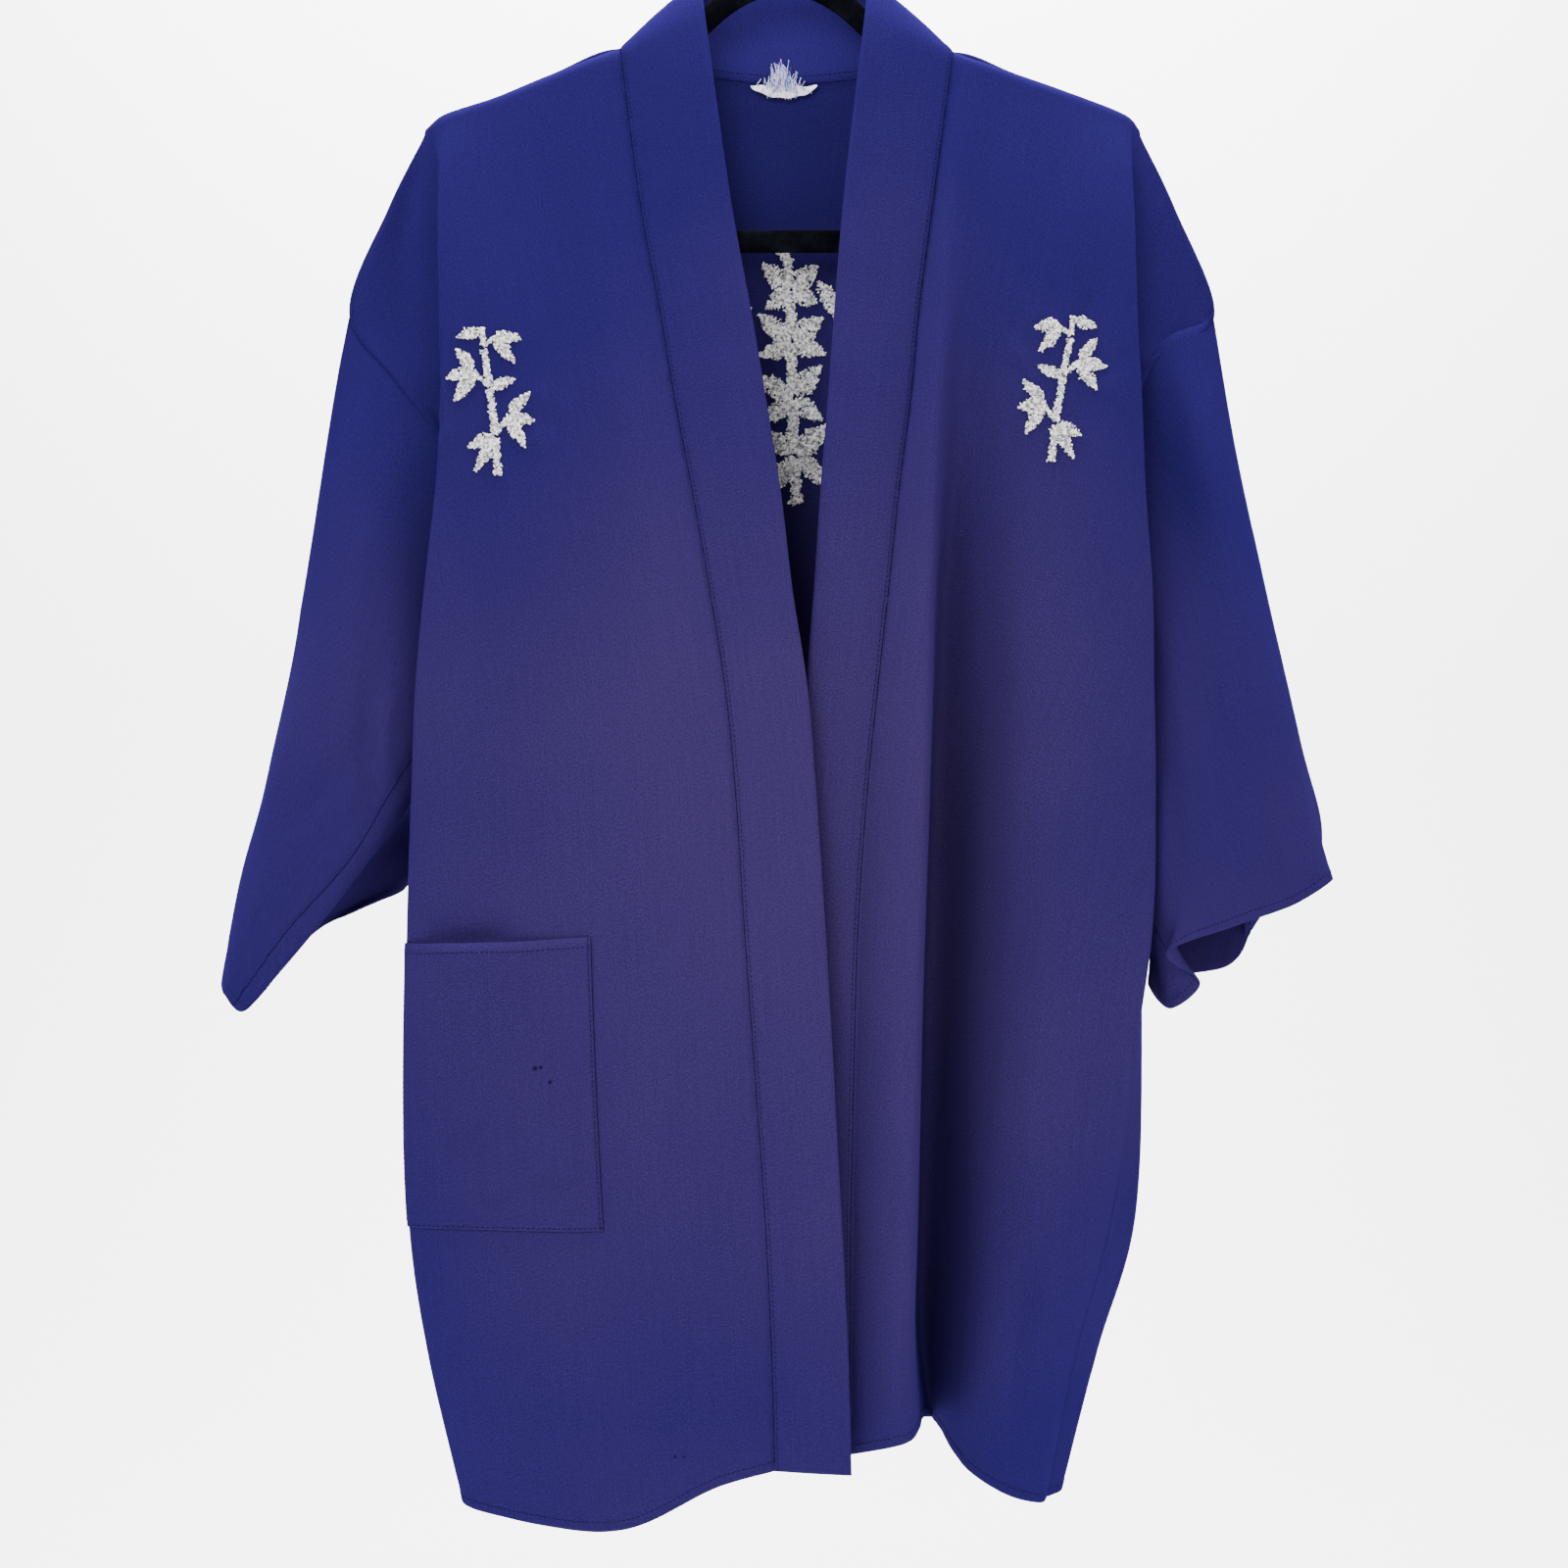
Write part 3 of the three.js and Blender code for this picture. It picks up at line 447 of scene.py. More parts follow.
    def stained(self, tree: NodeTree, place: bpy.types.NodeSocket) -> bpy.types.NodeSocket:
        """Small dark marks on the cloth.

        Args:
            tree: the tree to add to.
            place: where the shaded point is.

        Returns:
            How dark the stain is, from 0 to 1.
        """
        # Depth counts a tenth, so a mark stays on the front whichever fold it lies on.
        thin = (1.0, 0.1, 1.0)
        near = tree.add("VectorMath", {"operation": "MULTIPLY"}, i0=place, i1=thin)
        total = None
        for (x, y, z), radius in self.marks:
            off = tree.add("VectorMath", {"operation": "DISTANCE"}, i0=near.outputs[0],
                           i1=(x * thin[0], y * thin[1], z * thin[2]))
            spot = tree.add("MapRange", Value=off.outputs["Value"], i1=radius * MM * 0.4,
                            i2=radius * MM * 1.3, i3=0.85, i4=0.0)
            shade = spot.outputs[0]
            total = shade if total is None else tree.math("MAXIMUM", total, shade)
        return total


@dataclass(frozen=True)
class Flock:
    """Short black flock sprayed over a plastic hanger."""

    name: str = "black_flock"
    colour: str = "#020306"
    lint: str = "#0d0f15"
    sheen: str = "#3a4252"

    def make(self) -> bpy.types.Material:
        """Builds the flock material.

        Returns:
            The material.
        """
        tree = NodeTree(self.name)
        place = tree.add("TexCoord")
        nap = tree.add("TexNoise", Vector=place.outputs["Object"], Scale=1600.0, Detail=2.0)
        patch = tree.add("TexNoise", Vector=place.outputs["Object"], Scale=70.0, Detail=3.0)
        worn = tree.ramp(patch.outputs["Fac"], (0.45, self.colour), (0.8, self.lint))
        bump = tree.add("Bump", Height=nap.outputs["Fac"], Strength=0.6, Distance=0.0006)
        shader = tree.add("BsdfPrincipled", Base_Color=worn.outputs[0], Roughness=0.95,
                          Normal=bump.outputs[0], Sheen_Weight=0.08, Sheen_Roughness=0.4,
                          Sheen_Tint=linear(self.sheen), Specular_IOR_Level=0.03)
        return tree.finish(shader)


@dataclass(frozen=True)
class Steel:
    """Polished chromed steel wire."""

    name: str = "chromed_wire"
    colour: str = "#c9ccd2"

    def make(self) -> bpy.types.Material:
        """Builds the wire material.

        Returns:
            The material.
        """
        tree = NodeTree(self.name)
        place = tree.add("TexCoord")
        rub = tree.add("TexNoise", Vector=place.outputs["Object"], Scale=240.0, Detail=3.0)
        rough = tree.add("MapRange", Value=rub.outputs["Fac"], i1=0.3, i2=0.8, i3=0.12, i4=0.3)
        shader = tree.add("BsdfPrincipled", Base_Color=linear(self.colour), Metallic=1.0,
                          Roughness=rough.outputs[0])
        return tree.finish(shader)


@dataclass(frozen=True)
class Thread:
    """Twisted sewing or embroidery thread."""

    name: str
    light: str
    dark: str
    roughness: float = 0.6
    patch_scale: float = 350.0
    specular: float = 0.5
    sheen: float = 0.2

    def make(self) -> bpy.types.Material:
        """Builds the thread material.

        Returns:
            The material.
        """
        tree = NodeTree(self.name)
        place = tree.add("TexCoord")
        # Darker patches of thread: the ply's own tone, and on the embroidery floss also painted shade
        # between its strands.
        ply_and_shade = tree.add("TexNoise", Vector=place.outputs["Object"], Scale=self.patch_scale,
                       Detail=2.0)
        tint = tree.ramp(ply_and_shade.outputs["Fac"], (0.35, self.dark), (0.62, self.light))
        fibre = tree.add("TexNoise", Vector=place.outputs["Object"], Scale=5200.0, Detail=1.0)
        bump = tree.add("Bump", Height=fibre.outputs["Fac"], Strength=0.4, Distance=0.0002)
        shader = tree.add("BsdfPrincipled", Base_Color=tint.outputs[0],
                          Roughness=self.roughness, Normal=bump.outputs[0],
                          Sheen_Weight=self.sheen, Specular_IOR_Level=self.specular)
        return tree.finish(shader)


@dataclass(frozen=True)
class LabelCloth:
    """White woven label tape with a few pale blue and pink picks."""

    name: str = "label_tape"
    picks: tuple[tuple[float, str], ...] = ((0.34, "#8f9fd6"), (0.45, "#e4e4ea"),
                                            (0.6, "#f2f0ee"), (0.7, "#d9b6c4"))

    def make(self) -> bpy.types.Material:
        """Builds the tape material.

        Returns:
            The material.
        """
        tree = NodeTree(self.name)
        place = tree.add("TexCoord")
        pick = tree.add("TexNoise", Vector=place.outputs["Object"], Scale=260.0, Detail=2.0)
        tint = tree.ramp(pick.outputs["Fac"], *self.picks)
        weave = tree.add("TexNoise", Vector=place.outputs["Object"], Scale=2400.0, Detail=1.0)
        bump = tree.add("Bump", Height=weave.outputs["Fac"], Strength=0.5, Distance=0.0003)
        shader = tree.add("BsdfPrincipled", Base_Color=tint.outputs[0], Roughness=0.85,
                          Normal=bump.outputs[0])
        return tree.finish(shader)


@dataclass(frozen=True)
class Backdrop:
    """Matt paper for the floor and the wall behind."""

    name: str = "backdrop_paper"
    colour: str = "#fbfbfb"

    def make(self) -> bpy.types.Material:
        """Builds the paper material."""
        tree = NodeTree(self.name)
        shader = tree.add("BsdfPrincipled", Base_Color=linear(self.colour), Roughness=0.9)
        return tree.finish(shader)


# ---- Curves and grids ----


def smooth(points: np.ndarray, steps: tuple[int, ...], closed: bool = False,
           ease: tuple[float, float] = (1.0, 1.0)) -> np.ndarray:
    """Runs centripetal Catmull-Rom curves through rows of points.

    Args:
        points: places along the first axis, (n, ..., 3).
        steps: steps in each span.
        closed: whether the curve returns to its first point.
        ease: over 1, crowds the steps towards the start and towards the end.

    Returns:
        The finer points, along the first axis.
    """
    count = len(points)
    result = []
    for span in range(count if closed else count - 1):
        p1, p2 = points[span], points[(span + 1) % count]
        if closed or span > 0:
            p0 = points[(span - 1) % count]
        else:
            p0 = 2 * p1 - p2
        if closed or span < count - 2:
            p3 = points[(span + 2) % count]
        else:
            p3 = 2 * p2 - p1
        d0, d1, d2 = (np.sqrt(np.linalg.norm(b - a, axis=-1, keepdims=True))
                      for a, b in ((p0, p1), (p1, p2), (p2, p3)))
        d1 = np.where(d1 < 1e-4, 1.0, d1)
        d0 = np.where(d0 < 1e-4, d1, d0)
        d2 = np.where(d2 < 1e-4, d1, d2)
        t1 = ((p1 - p0) / d0 - (p2 - p0) / (d0 + d1) + (p2 - p1) / d1) * d1
        t2 = ((p2 - p1) / d1 - (p3 - p1) / (d1 + d2) + (p3 - p2) / d2) * d1
        for step in range(steps[span]):
            t = step / steps[span]
            if span == 0:
                t = t ** ease[0]
            if span == count - 2:
                t = 1 - (1 - t) ** ease[1]
            result.append((2 * t**3 - 3 * t**2 + 1) * p1 + (t**3 - 2 * t**2 + t) * t1
                          + (3 * t**2 - 2 * t**3) * p2 + (t**3 - t**2) * t2)
    if not closed:
        result.append(points[-1])
    return np.array(result)


def rows_of(table: Table) -> np.ndarray:
    """Reads a table as an array of (row, fold line, 3)."""
    return np.array(list(table.values()), dtype=float)


def panel_grid(table: Table, column_steps: tuple[int, ...], eased: bool = True) -> np.ndarray:
    """Makes a panel's fine grid, with the shoulder rounded over the hanger.

    Args:
        table: the panel's sections.
        column_steps: steps between neighbouring fold lines.
        eased: whether columns crowd towards the first fold line.

    Returns:
        Grid of places, (rows, columns, 3), in millimetres.
    """
    rows = rows_of(table)
    ridge, below = rows[0], rows[1]
    over = []
    for step in range(ROW_STEPS[0]):
        angle = step / ROW_STEPS[0] * math.pi / 2
        point = ridge + (below - ridge) * math.sin(angle)
        point[:, 2] = below[:, 2] + (ridge[:, 2] - below[:, 2]) * math.cos(angle)
        over.append(point)
    down = np.concatenate([np.array(over), smooth(rows[1:], ROW_STEPS[1:], ease=(1.0, EDGE_EASE))])
    first = EDGE_EASE if eased else 1.0
    return smooth(down.transpose(1, 0, 2), column_steps, ease=(first, 1.0)).transpose(1, 0, 2)


def part_at_seams(grid: np.ndarray, direction: float) -> np.ndarray:
    """Draws a panel back from the one it is sewn to, along the shoulder and down the sides.

    Args:
        grid: the panel's grid.
        direction: -1 for a front, 1 for the back.

    Returns:
        The same grid.
    """
    grid[0, 1:-1, 1] += direction * SEAM_GAP
    grid[:, (0, -1), 1] += direction * SEAM_SETBACK
    return grid


def unit(vectors: np.ndarray) -> np.ndarray:
    """Scales vectors to length 1."""
    return vectors / np.maximum(np.linalg.norm(vectors, axis=-1, keepdims=True), 1e-9)


def normals_of(grid: np.ndarray, closed: bool = False) -> np.ndarray:
    """Works out the normal at each point of a grid.

    Args:
        grid: the grid.
        closed: whether its columns run round a tube.

    Returns:
        Unit normals, in the grid's shape.
    """
    down = np.gradient(grid, axis=0)
    if closed:
        across = np.roll(grid, -1, axis=1) - np.roll(grid, 1, axis=1)
    else:
        across = np.gradient(grid, axis=1)
    return unit(np.cross(down, across))


def arc_lengths(grid: np.ndarray, axis: int) -> np.ndarray:
    """Distance along each line of a grid from its start.

    Args:
        grid: the grid.
        axis: 0 for down the rows, 1 for across the columns.

    Returns:
        Distances, (rows, columns).
    """
    steps = np.linalg.norm(np.diff(grid, axis=axis), axis=-1)
    start = np.zeros_like(np.take(steps, [0], axis=axis))
    return np.concatenate([start, np.cumsum(steps, axis=axis)], axis=axis)


def mesh_row(name: str) -> int:
    """First fine row of a named section of a body panel."""
    section = list(RIGHT_FRONT).index(name)
    return sum(ROW_STEPS[:section])


def bell(distance: np.ndarray, reach: float) -> np.ndarray:
    """Fades from 1 at no distance to almost nothing at twice the reach."""
    return np.exp(-((distance / reach) ** 2))


def ripple(lengths: np.ndarray, seed: int, waves: tuple[float, ...] = (11.0, 17.0, 29.0)
           ) -> np.ndarray:
    """An uneven ripple along a seam.

    Args:
        lengths: distances along the seam, mm.
        seed: picks the phases.
        waves: wavelengths that are mixed, mm.

    Returns:
        Values of about -1 to 1.
    """
    phases = np.random.default_rng(seed).uniform(-1.0, 1.0, 2 * len(waves)) * math.pi
    total = np.zeros_like(lengths)
    for index, wave in enumerate(waves):
        drift = 0.8 * np.sin(lengths / (wave * 4.3) + phases[index + len(waves)])
        total += np.sin(lengths * 2 * math.pi / wave + phases[index] + drift)
    return total / len(waves)


# ---- Creases ----


@dataclass(frozen=True)
class Crease:
    """A soft trough or ridge between two places of the front view, (across, up).

    depth is outwards where positive; width is its half width.
    """

    start: tuple[float, float]
    end: tuple[float, float]
    width: float
    depth: float

    def relief(self, grid: np.ndarray) -> np.ndarray:
        """Works out the height of the crease at each point of a grid.

        Args:
            grid: the grid.

        Returns:
            Heights, mm.
        """
        across, up = grid[..., 0], grid[..., 2]
        dx, dz = self.end[0] - self.start[0], self.end[1] - self.start[1]
        length = math.hypot(dx, dz)
        along = ((across - self.start[0]) * dx + (up - self.start[1]) * dz) / length**2
        off = ((across - self.start[0]) * dz - (up - self.start[1]) * dx) / length
        bow = 0.06 * length * np.sin(math.pi * np.clip(along, 0, 1))
        body = bell(off - bow, self.width)
        inside = np.clip(along, 0.0, 1.0)
        ends = np.sin(math.pi * inside) ** 0.8 * ((along > 0) & (along < 1))
        return self.depth * body * ends


def add_creases(grid: np.ndarray, creases: tuple[Crease, ...], side: Side,
                closed: bool = False) -> np.ndarray:
    """Presses creases into a grid.

    Args:
        grid: the grid.
        creases: what to press in.
        side: which face is outside.
        closed: whether the grid is a tube.

    Returns:
        The creased grid.
    """
    normals = normals_of(grid, closed) * side.value
    relief = sum((crease.relief(grid) for crease in creases), np.zeros(grid.shape[:2]))
    return grid + normals * relief[..., None]


# ---- Meshes ----


def add_object(name: str, data: bpy.types.ID) -> bpy.types.Object:
    """Adds an object to the scene.

    Args:
        name: its name.
        data: its mesh, light or camera.

    Returns:
        The new object.
    """
    item = bpy.data.objects.new(name, data)
    bpy.context.scene.collection.objects.link(item)
    return item


def smooth_mesh(name: str, points: list, faces: list) -> bpy.types.Mesh:
    """Makes a mesh that is shaded smooth.

    Args:
        name: its name.
        points: places, m.
        faces: indices of the points of each face.

    Returns:
        The new mesh.
    """
    mesh = bpy.data.meshes.new(name)
    mesh.from_pydata(points, [], faces)
    mesh.polygons.foreach_set("use_smooth", [True] * len(faces))
    return mesh


def shell_mesh(name: str, grid: np.ndarray, thickness: np.ndarray, closed: bool = False
               ) -> bpy.types.Object:
    """Makes a closed wall of cloth on a grid, with a UV map of the flat cloth.

    Args:
        name: the object's name.
        grid: middle of the wall, mm.
        thickness: wall at each grid point, mm.
        closed: whether the columns run round a tube.

    Returns:
        The new object.
    """
    normals = normals_of(grid, closed)
    half = normals * thickness[..., None] / 2
    rows, columns = grid.shape[:2]
    size = rows * columns
    points = np.concatenate([face.reshape(-1, 3) for face in (grid + half, grid - half)]) * MM
    across = columns if closed else columns - 1
    i, j = np.meshgrid(np.arange(rows - 1), np.arange(across), indexing="ij")
    a = (i * columns + j).ravel()
    b = ((i + 1) * columns + j).ravel()
    c = ((i + 1) * columns + (j + 1) % columns).ravel()
    d = (i * columns + (j + 1) % columns).ravel()
    quads = [np.stack([a, b, c, d], 1), np.stack([a, d, c, b], 1) + size]
    cols = np.arange(across)
    nxt = (cols + 1) % columns
    foot = (rows - 1) * columns
    quads.append(np.stack([cols, nxt, nxt + size, cols + size], 1))
    quads.append(np.stack([nxt + foot, cols + foot, cols + foot + size, nxt + foot + size], 1))
    if not closed:
        down = np.arange(rows - 1) * columns
        end = down + columns - 1
        quads.append(np.stack([down + columns, down, down + size, down + columns + size], 1))
        quads.append(np.stack([end, end + columns, end + columns + size, end + size], 1))
    faces = np.concatenate(quads)
    mesh = smooth_mesh(name, points.tolist(), faces.tolist())
    u = arc_lengths(grid, 1) * MM
    v = arc_lengths(grid, 0) * MM
    flat = np.stack([u, v], -1).reshape(-1, 2)
    flat = np.concatenate([flat, flat])
    layer = mesh.uv_layers.new(name="cloth")
    layer.data.foreach_set("uv", flat[faces.ravel()].ravel())
    mesh.update()
    return add_object(name, mesh)


def edge_rounding(grid: np.ndarray, thickness: float, edges: str) -> np.ndarray:
    """Wall thickness that rounds off towards the named edges.

    Args:
        grid: the grid.
        thickness: full thickness, mm.
        edges: any of t, b, l and r, for top, bottom, left and right.

    Returns:
        Thickness at each point.
    """
    down = arc_lengths(grid, 0)
    across = arc_lengths(grid, 1)
    distances = {"t": down, "b": down[-1:] - down, "l": across, "r": across[:, -1:] - across}
    result = np.full(grid.shape[:2], thickness)
    for key in edges:
        near = np.clip(distances[key] / (thickness * 0.5), 0.0, 1.0)
        result *= np.sqrt(np.clip(1 - (1 - near) ** 2, 0.12, 1.0))
    return result


def dress(item: bpy.types.Object, material: bpy.types.Material, slot: str | None,
          *nodes: str) -> None:
    """Gives a piece its material and its place in the part.

    Args:
        item: the piece.
        material: its finish.
        slot: not used.
        nodes: the solids that it stands for.
    """
    item.data.materials.clear()
    item.data.materials.append(material)
    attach(item, BODY)
    if nodes:
        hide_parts(*nodes)
    LOG.info("%s: %d faces", item.name, len(item.data.polygons))


# ---- Stitches ----


@dataclass
class Stitches:
    """A run or patch of stitches, before they are made into thread."""

    centres: np.ndarray
    along: np.ndarray
    facing: np.ndarray
    lengths: np.ndarray

    @staticmethod
    def joined(groups: list["Stitches"]) -> "Stitches":
        """Puts several groups into one."""
        return Stitches(*(np.concatenate([getattr(group, field) for group in groups])
                          for field in ("centres", "along", "facing", "lengths")))


def stitch_tree() -> bpy.types.NodeTree:
    """Builds the tree that lays one rounded length of thread on each point.

    Returns:
        The Geometry Nodes tree.
    """
    tree = bpy.data.node_groups.new("laid_stitches", "GeometryNodeTree")
    face = tree.interface
    face.new_socket("Geometry", in_out="INPUT", socket_type="NodeSocketGeometry")
    face.new_socket("Thread Width", in_out="INPUT", socket_type="NodeSocketFloat")
    face.new_socket("Thread Height", in_out="INPUT", socket_type="NodeSocketFloat")
    face.new_socket("Thread", in_out="INPUT", socket_type="NodeSocketMaterial")
    face.new_socket("Geometry", in_out="OUTPUT", socket_type="NodeSocketGeometry")

    def add(kind: str, settings: dict | None = None, **inputs: object) -> bpy.types.Node:
        """Adds one node to this tree."""
        return add_node(tree, kind, settings, **inputs)

    def attribute(name: str, kind: str) -> bpy.types.NodeSocket:
        """Reads a named attribute of the points."""
        return add("GeometryNodeInputNamedAttribute", {"data_type": kind}, i0=name).outputs[0]

    start = add("NodeGroupInput")
    bead = add("GeometryNodeMeshUVSphere", None, i0=BEAD_SEGMENTS, i1=BEAD_RINGS,
               i2=BEAD_RADIUS)
    aim = add("FunctionNodeAlignRotationToVector", {"axis": "X"},
              i2=attribute("along", "FLOAT_VECTOR"))
    roll = add("FunctionNodeAlignRotationToVector", {"axis": "Z", "pivot_axis": "X"},
               i0=aim.outputs[0], i2=attribute("facing", "FLOAT_VECTOR"))
    scale = add("ShaderNodeCombineXYZ", None, i0=attribute("length", "FLOAT"),
                i1=start.outputs[1], i2=start.outputs[2])
    lay = add("GeometryNodeInstanceOnPoints", None, i0=start.outputs[0], i2=bead.outputs[0],
              i5=roll.outputs[0], i6=scale.outputs[0])
    real = add("GeometryNodeRealizeInstances", None, i0=lay.outputs[0])
    soft = add("GeometryNodeSetShadeSmooth", None, i0=real.outputs[0])
    dressed = add("GeometryNodeSetMaterial", None, i0=soft.outputs[0], i2=start.outputs[3])
    add("NodeGroupOutput", None, i0=dressed.outputs[0])
    return tree


class Sewing:
    """Turns stitches into thread with one shared Geometry Nodes tree."""

    def __init__(self) -> None:
        """Builds the tree once."""
        self.tree = stitch_tree()

    def sew(self, name: str, stitches: Stitches, width: float, height: float,
            thread: bpy.types.Material, slot: str | None) -> bpy.types.Object:
        """Makes one object of thread.

        Args:
            name: the object's name.
            stitches: where the thread lies.
            width: thread width, mm.
            height: thread height, mm.
            thread: its finish.
            slot: passed on to dress, which does not use it.

        Returns:
            The new object.
        """
        points = bpy.data.meshes.new(name + "_points")
        points.from_pydata((stitches.centres * MM).tolist(), [], [])
        for label, values in (("along", stitches.along), ("facing", stitches.facing)):
            layer = points.attributes.new(label, "FLOAT_VECTOR", "POINT")
            layer.data.foreach_set("vector", unit(values).ravel())
        layer = points.attributes.new("length", "FLOAT", "POINT")
        layer.data.foreach_set("value", stitches.lengths * MM)
        carrier = add_object(name + "_carrier", points)
        modifier = carrier.modifiers.new("stitches", "NODES")
        modifier.node_group = self.tree
        sizes = {"Thread Width": width * MM, "Thread Height": height * MM, "Thread": thread}
        for item in self.tree.interface.items_tree:
            if item.in_out == "INPUT" and item.name in sizes:
                modifier[item.identifier] = sizes[item.name]
        graph = bpy.context.evaluated_depsgraph_get()
        mesh = bpy.data.meshes.new_from_object(carrier.evaluated_get(graph), depsgraph=graph)
        mesh.name = name
        bpy.data.objects.remove(carrier)
        result = add_object(name, mesh)
        dress(result, thread, slot)
        return result


def read_line(places: np.ndarray, at: np.ndarray, where: np.ndarray | float) -> np.ndarray:
    """Reads a line between its points.

    Args:
        places: the line's points.
        at: how far along each point is.
        where: how far along to read.

    Returns:
        The places read.
    """
    return np.stack([np.interp(where, at, places[:, k]) for k in range(3)], -1)


def run_along(path: np.ndarray, facing: np.ndarray, pitch: float = STITCH_PITCH,
              fill: float = 0.72) -> Stitches:
    """Spaces stitches along a path.

    Args:
        path: places along the seam, mm.
        facing: outward normals along it.
        pitch: from one stitch to the next, mm.
        fill: share of the pitch that shows as thread.

    Returns:
        The stitches.
    """
    steps = np.linalg.norm(np.diff(path, axis=0), axis=-1)
    length = np.concatenate([[0.0], np.cumsum(steps)])
    count = max(int(length[-1] / pitch), 1)
    middles = (np.arange(count) + 0.5) * length[-1] / count
    half = pitch * fill / 2
    centres, normals = read_line(path, length, middles), read_line(facing, length, middles)
    along = read_line(path, length, middles + half) - read_line(path, length, middles - half)
    return Stitches(centres, along, normals, np.linalg.norm(along, axis=-1))


def ditch_along(path: np.ndarray, facing: np.ndarray) -> Stitches:
    """Spaces the close dark stitches laid in the ditch of a seam as its painted shade."""
    return run_along(path, facing, pitch=DITCH_PITCH, fill=DITCH_FILL)


def sample_grid(grid: np.ndarray, rows: np.ndarray, columns: np.ndarray) -> np.ndarray:
    """Reads a grid between its points.

    Args:
        grid: the grid.
        rows: fractional rows.
        columns: fractional columns.

    Returns:
        The places read.
    """
    r0 = np.clip(np.floor(rows).astype(int), 0, grid.shape[0] - 2)
    c0 = np.clip(np.floor(columns).astype(int), 0, grid.shape[1] - 2)
    fr, fc = (rows - r0)[:, None], (columns - c0)[:, None]
    top = grid[r0, c0] * (1 - fc) + grid[r0, c0 + 1] * fc
    foot = grid[r0 + 1, c0] * (1 - fc) + grid[r0 + 1, c0 + 1] * fc
    return top * (1 - fr) + foot * fr


def row_at_distance(grid: np.ndarray, distance: float, from_foot: bool = True) -> np.ndarray:
    """Finds the row that lies a distance from the foot or top, in each column.

    Args:
        grid: the grid.
        distance: the distance, mm.
        from_foot: whether it is measured from the foot.

    Returns:
        Fractional rows.
    """
    down = arc_lengths(grid, 0)
    target = down[-1] - distance if from_foot else np.full(grid.shape[1], distance)
    rows = np.arange(grid.shape[0])
    return np.array([np.interp(target[j], down[:, j], rows) for j in range(grid.shape[1])])


def column_at_distance(grid: np.ndarray, distance: float, from_end: bool = False) -> np.ndarray:
    """Finds the column that lies a distance from a side edge, in each row.

    Args:
        grid: the grid.
        distance: the distance, mm.
        from_end: whether it is measured from the last column.

    Returns:
        Fractional columns.
    """
    across = arc_lengths(grid, 1)
    target = across[:, -1] - distance if from_end else np.full(grid.shape[0], distance)
    columns = np.arange(grid.shape[1])
    return np.array([np.interp(target[i], across[i], columns) for i in range(grid.shape[0])])


@dataclass
class Cloth:
    """One finished piece of cloth: its grid, its wall and which face is outside."""

    grid: np.ndarray
    thickness: np.ndarray
    side: Side
    closed: bool = False

    def face(self, side: Side | None = None, lift: float = 0.1) -> tuple[np.ndarray, np.ndarray]:
        """The outer or inner face, and its normals.

        Args:
            side: the face wanted; the outside where left out.
            lift: how far above the cloth, mm.

        Returns:
            Places and normals.
        """
        sign = self.side.value * (1.0 if side in (None, Side.OUT) else -1.0)
        normals = normals_of(self.grid, self.closed) * sign
        return self.grid + normals * (self.thickness[..., None] / 2 + lift), normals

    def stitch_row(self, distance: float, from_foot: bool = True,
                   side: Side | None = None) -> Stitches:
        """Stitches across the cloth.

        Args:
            distance: how far from its foot or top, mm.
            from_foot: whether that is from its foot.
            side: the face wanted; the outside where left out.

        Returns:
            The stitches.
        """
        places, normals = self.face(side)
        if self.closed:
            places = np.concatenate([places, places[:, :1]], axis=1)
            normals = np.concatenate([normals, normals[:, :1]], axis=1)
        rows = row_at_distance(places, distance, from_foot)
        columns = np.arange(places.shape[1], dtype=float)
        return run_along(sample_grid(places, rows, columns), sample_grid(normals, rows, columns))

    def stitch_column(self, distance: float, from_end: bool = False, side: Side | None = None,
                      first: int = 0, last: int | None = None) -> Stitches:
        """Stitches down the cloth.

        Args:
            distance: how far from one side edge, mm.
            from_end: whether that is the edge at the last column.
            side: the face wanted; the outside where left out.
            first: first row.
            last: row after the last.

        Returns:
            The stitches.
        """
        places, normals = self.face(side)
        columns = column_at_distance(places, distance, from_end)[first:last]
        rows = np.arange(places.shape[0], dtype=float)[first:last]
        return run_along(sample_grid(places, rows, columns), sample_grid(normals, rows, columns))

    def surface(self) -> BVHTree:
        """Makes the outer face ready for casting rays at.

        Returns:
            The face as a tree.
        """
        places, _ = self.face(lift=0.0)
        rows, columns = places.shape[:2]
        index = np.arange(rows * columns).reshape(rows, columns)
        quads = np.stack([index[:-1, :-1], index[1:, :-1], index[1:, 1:], index[:-1, 1:]], -1)
        return BVHTree.FromPolygons(places.reshape(-1, 3).tolist(), quads.reshape(-1, 4).tolist())


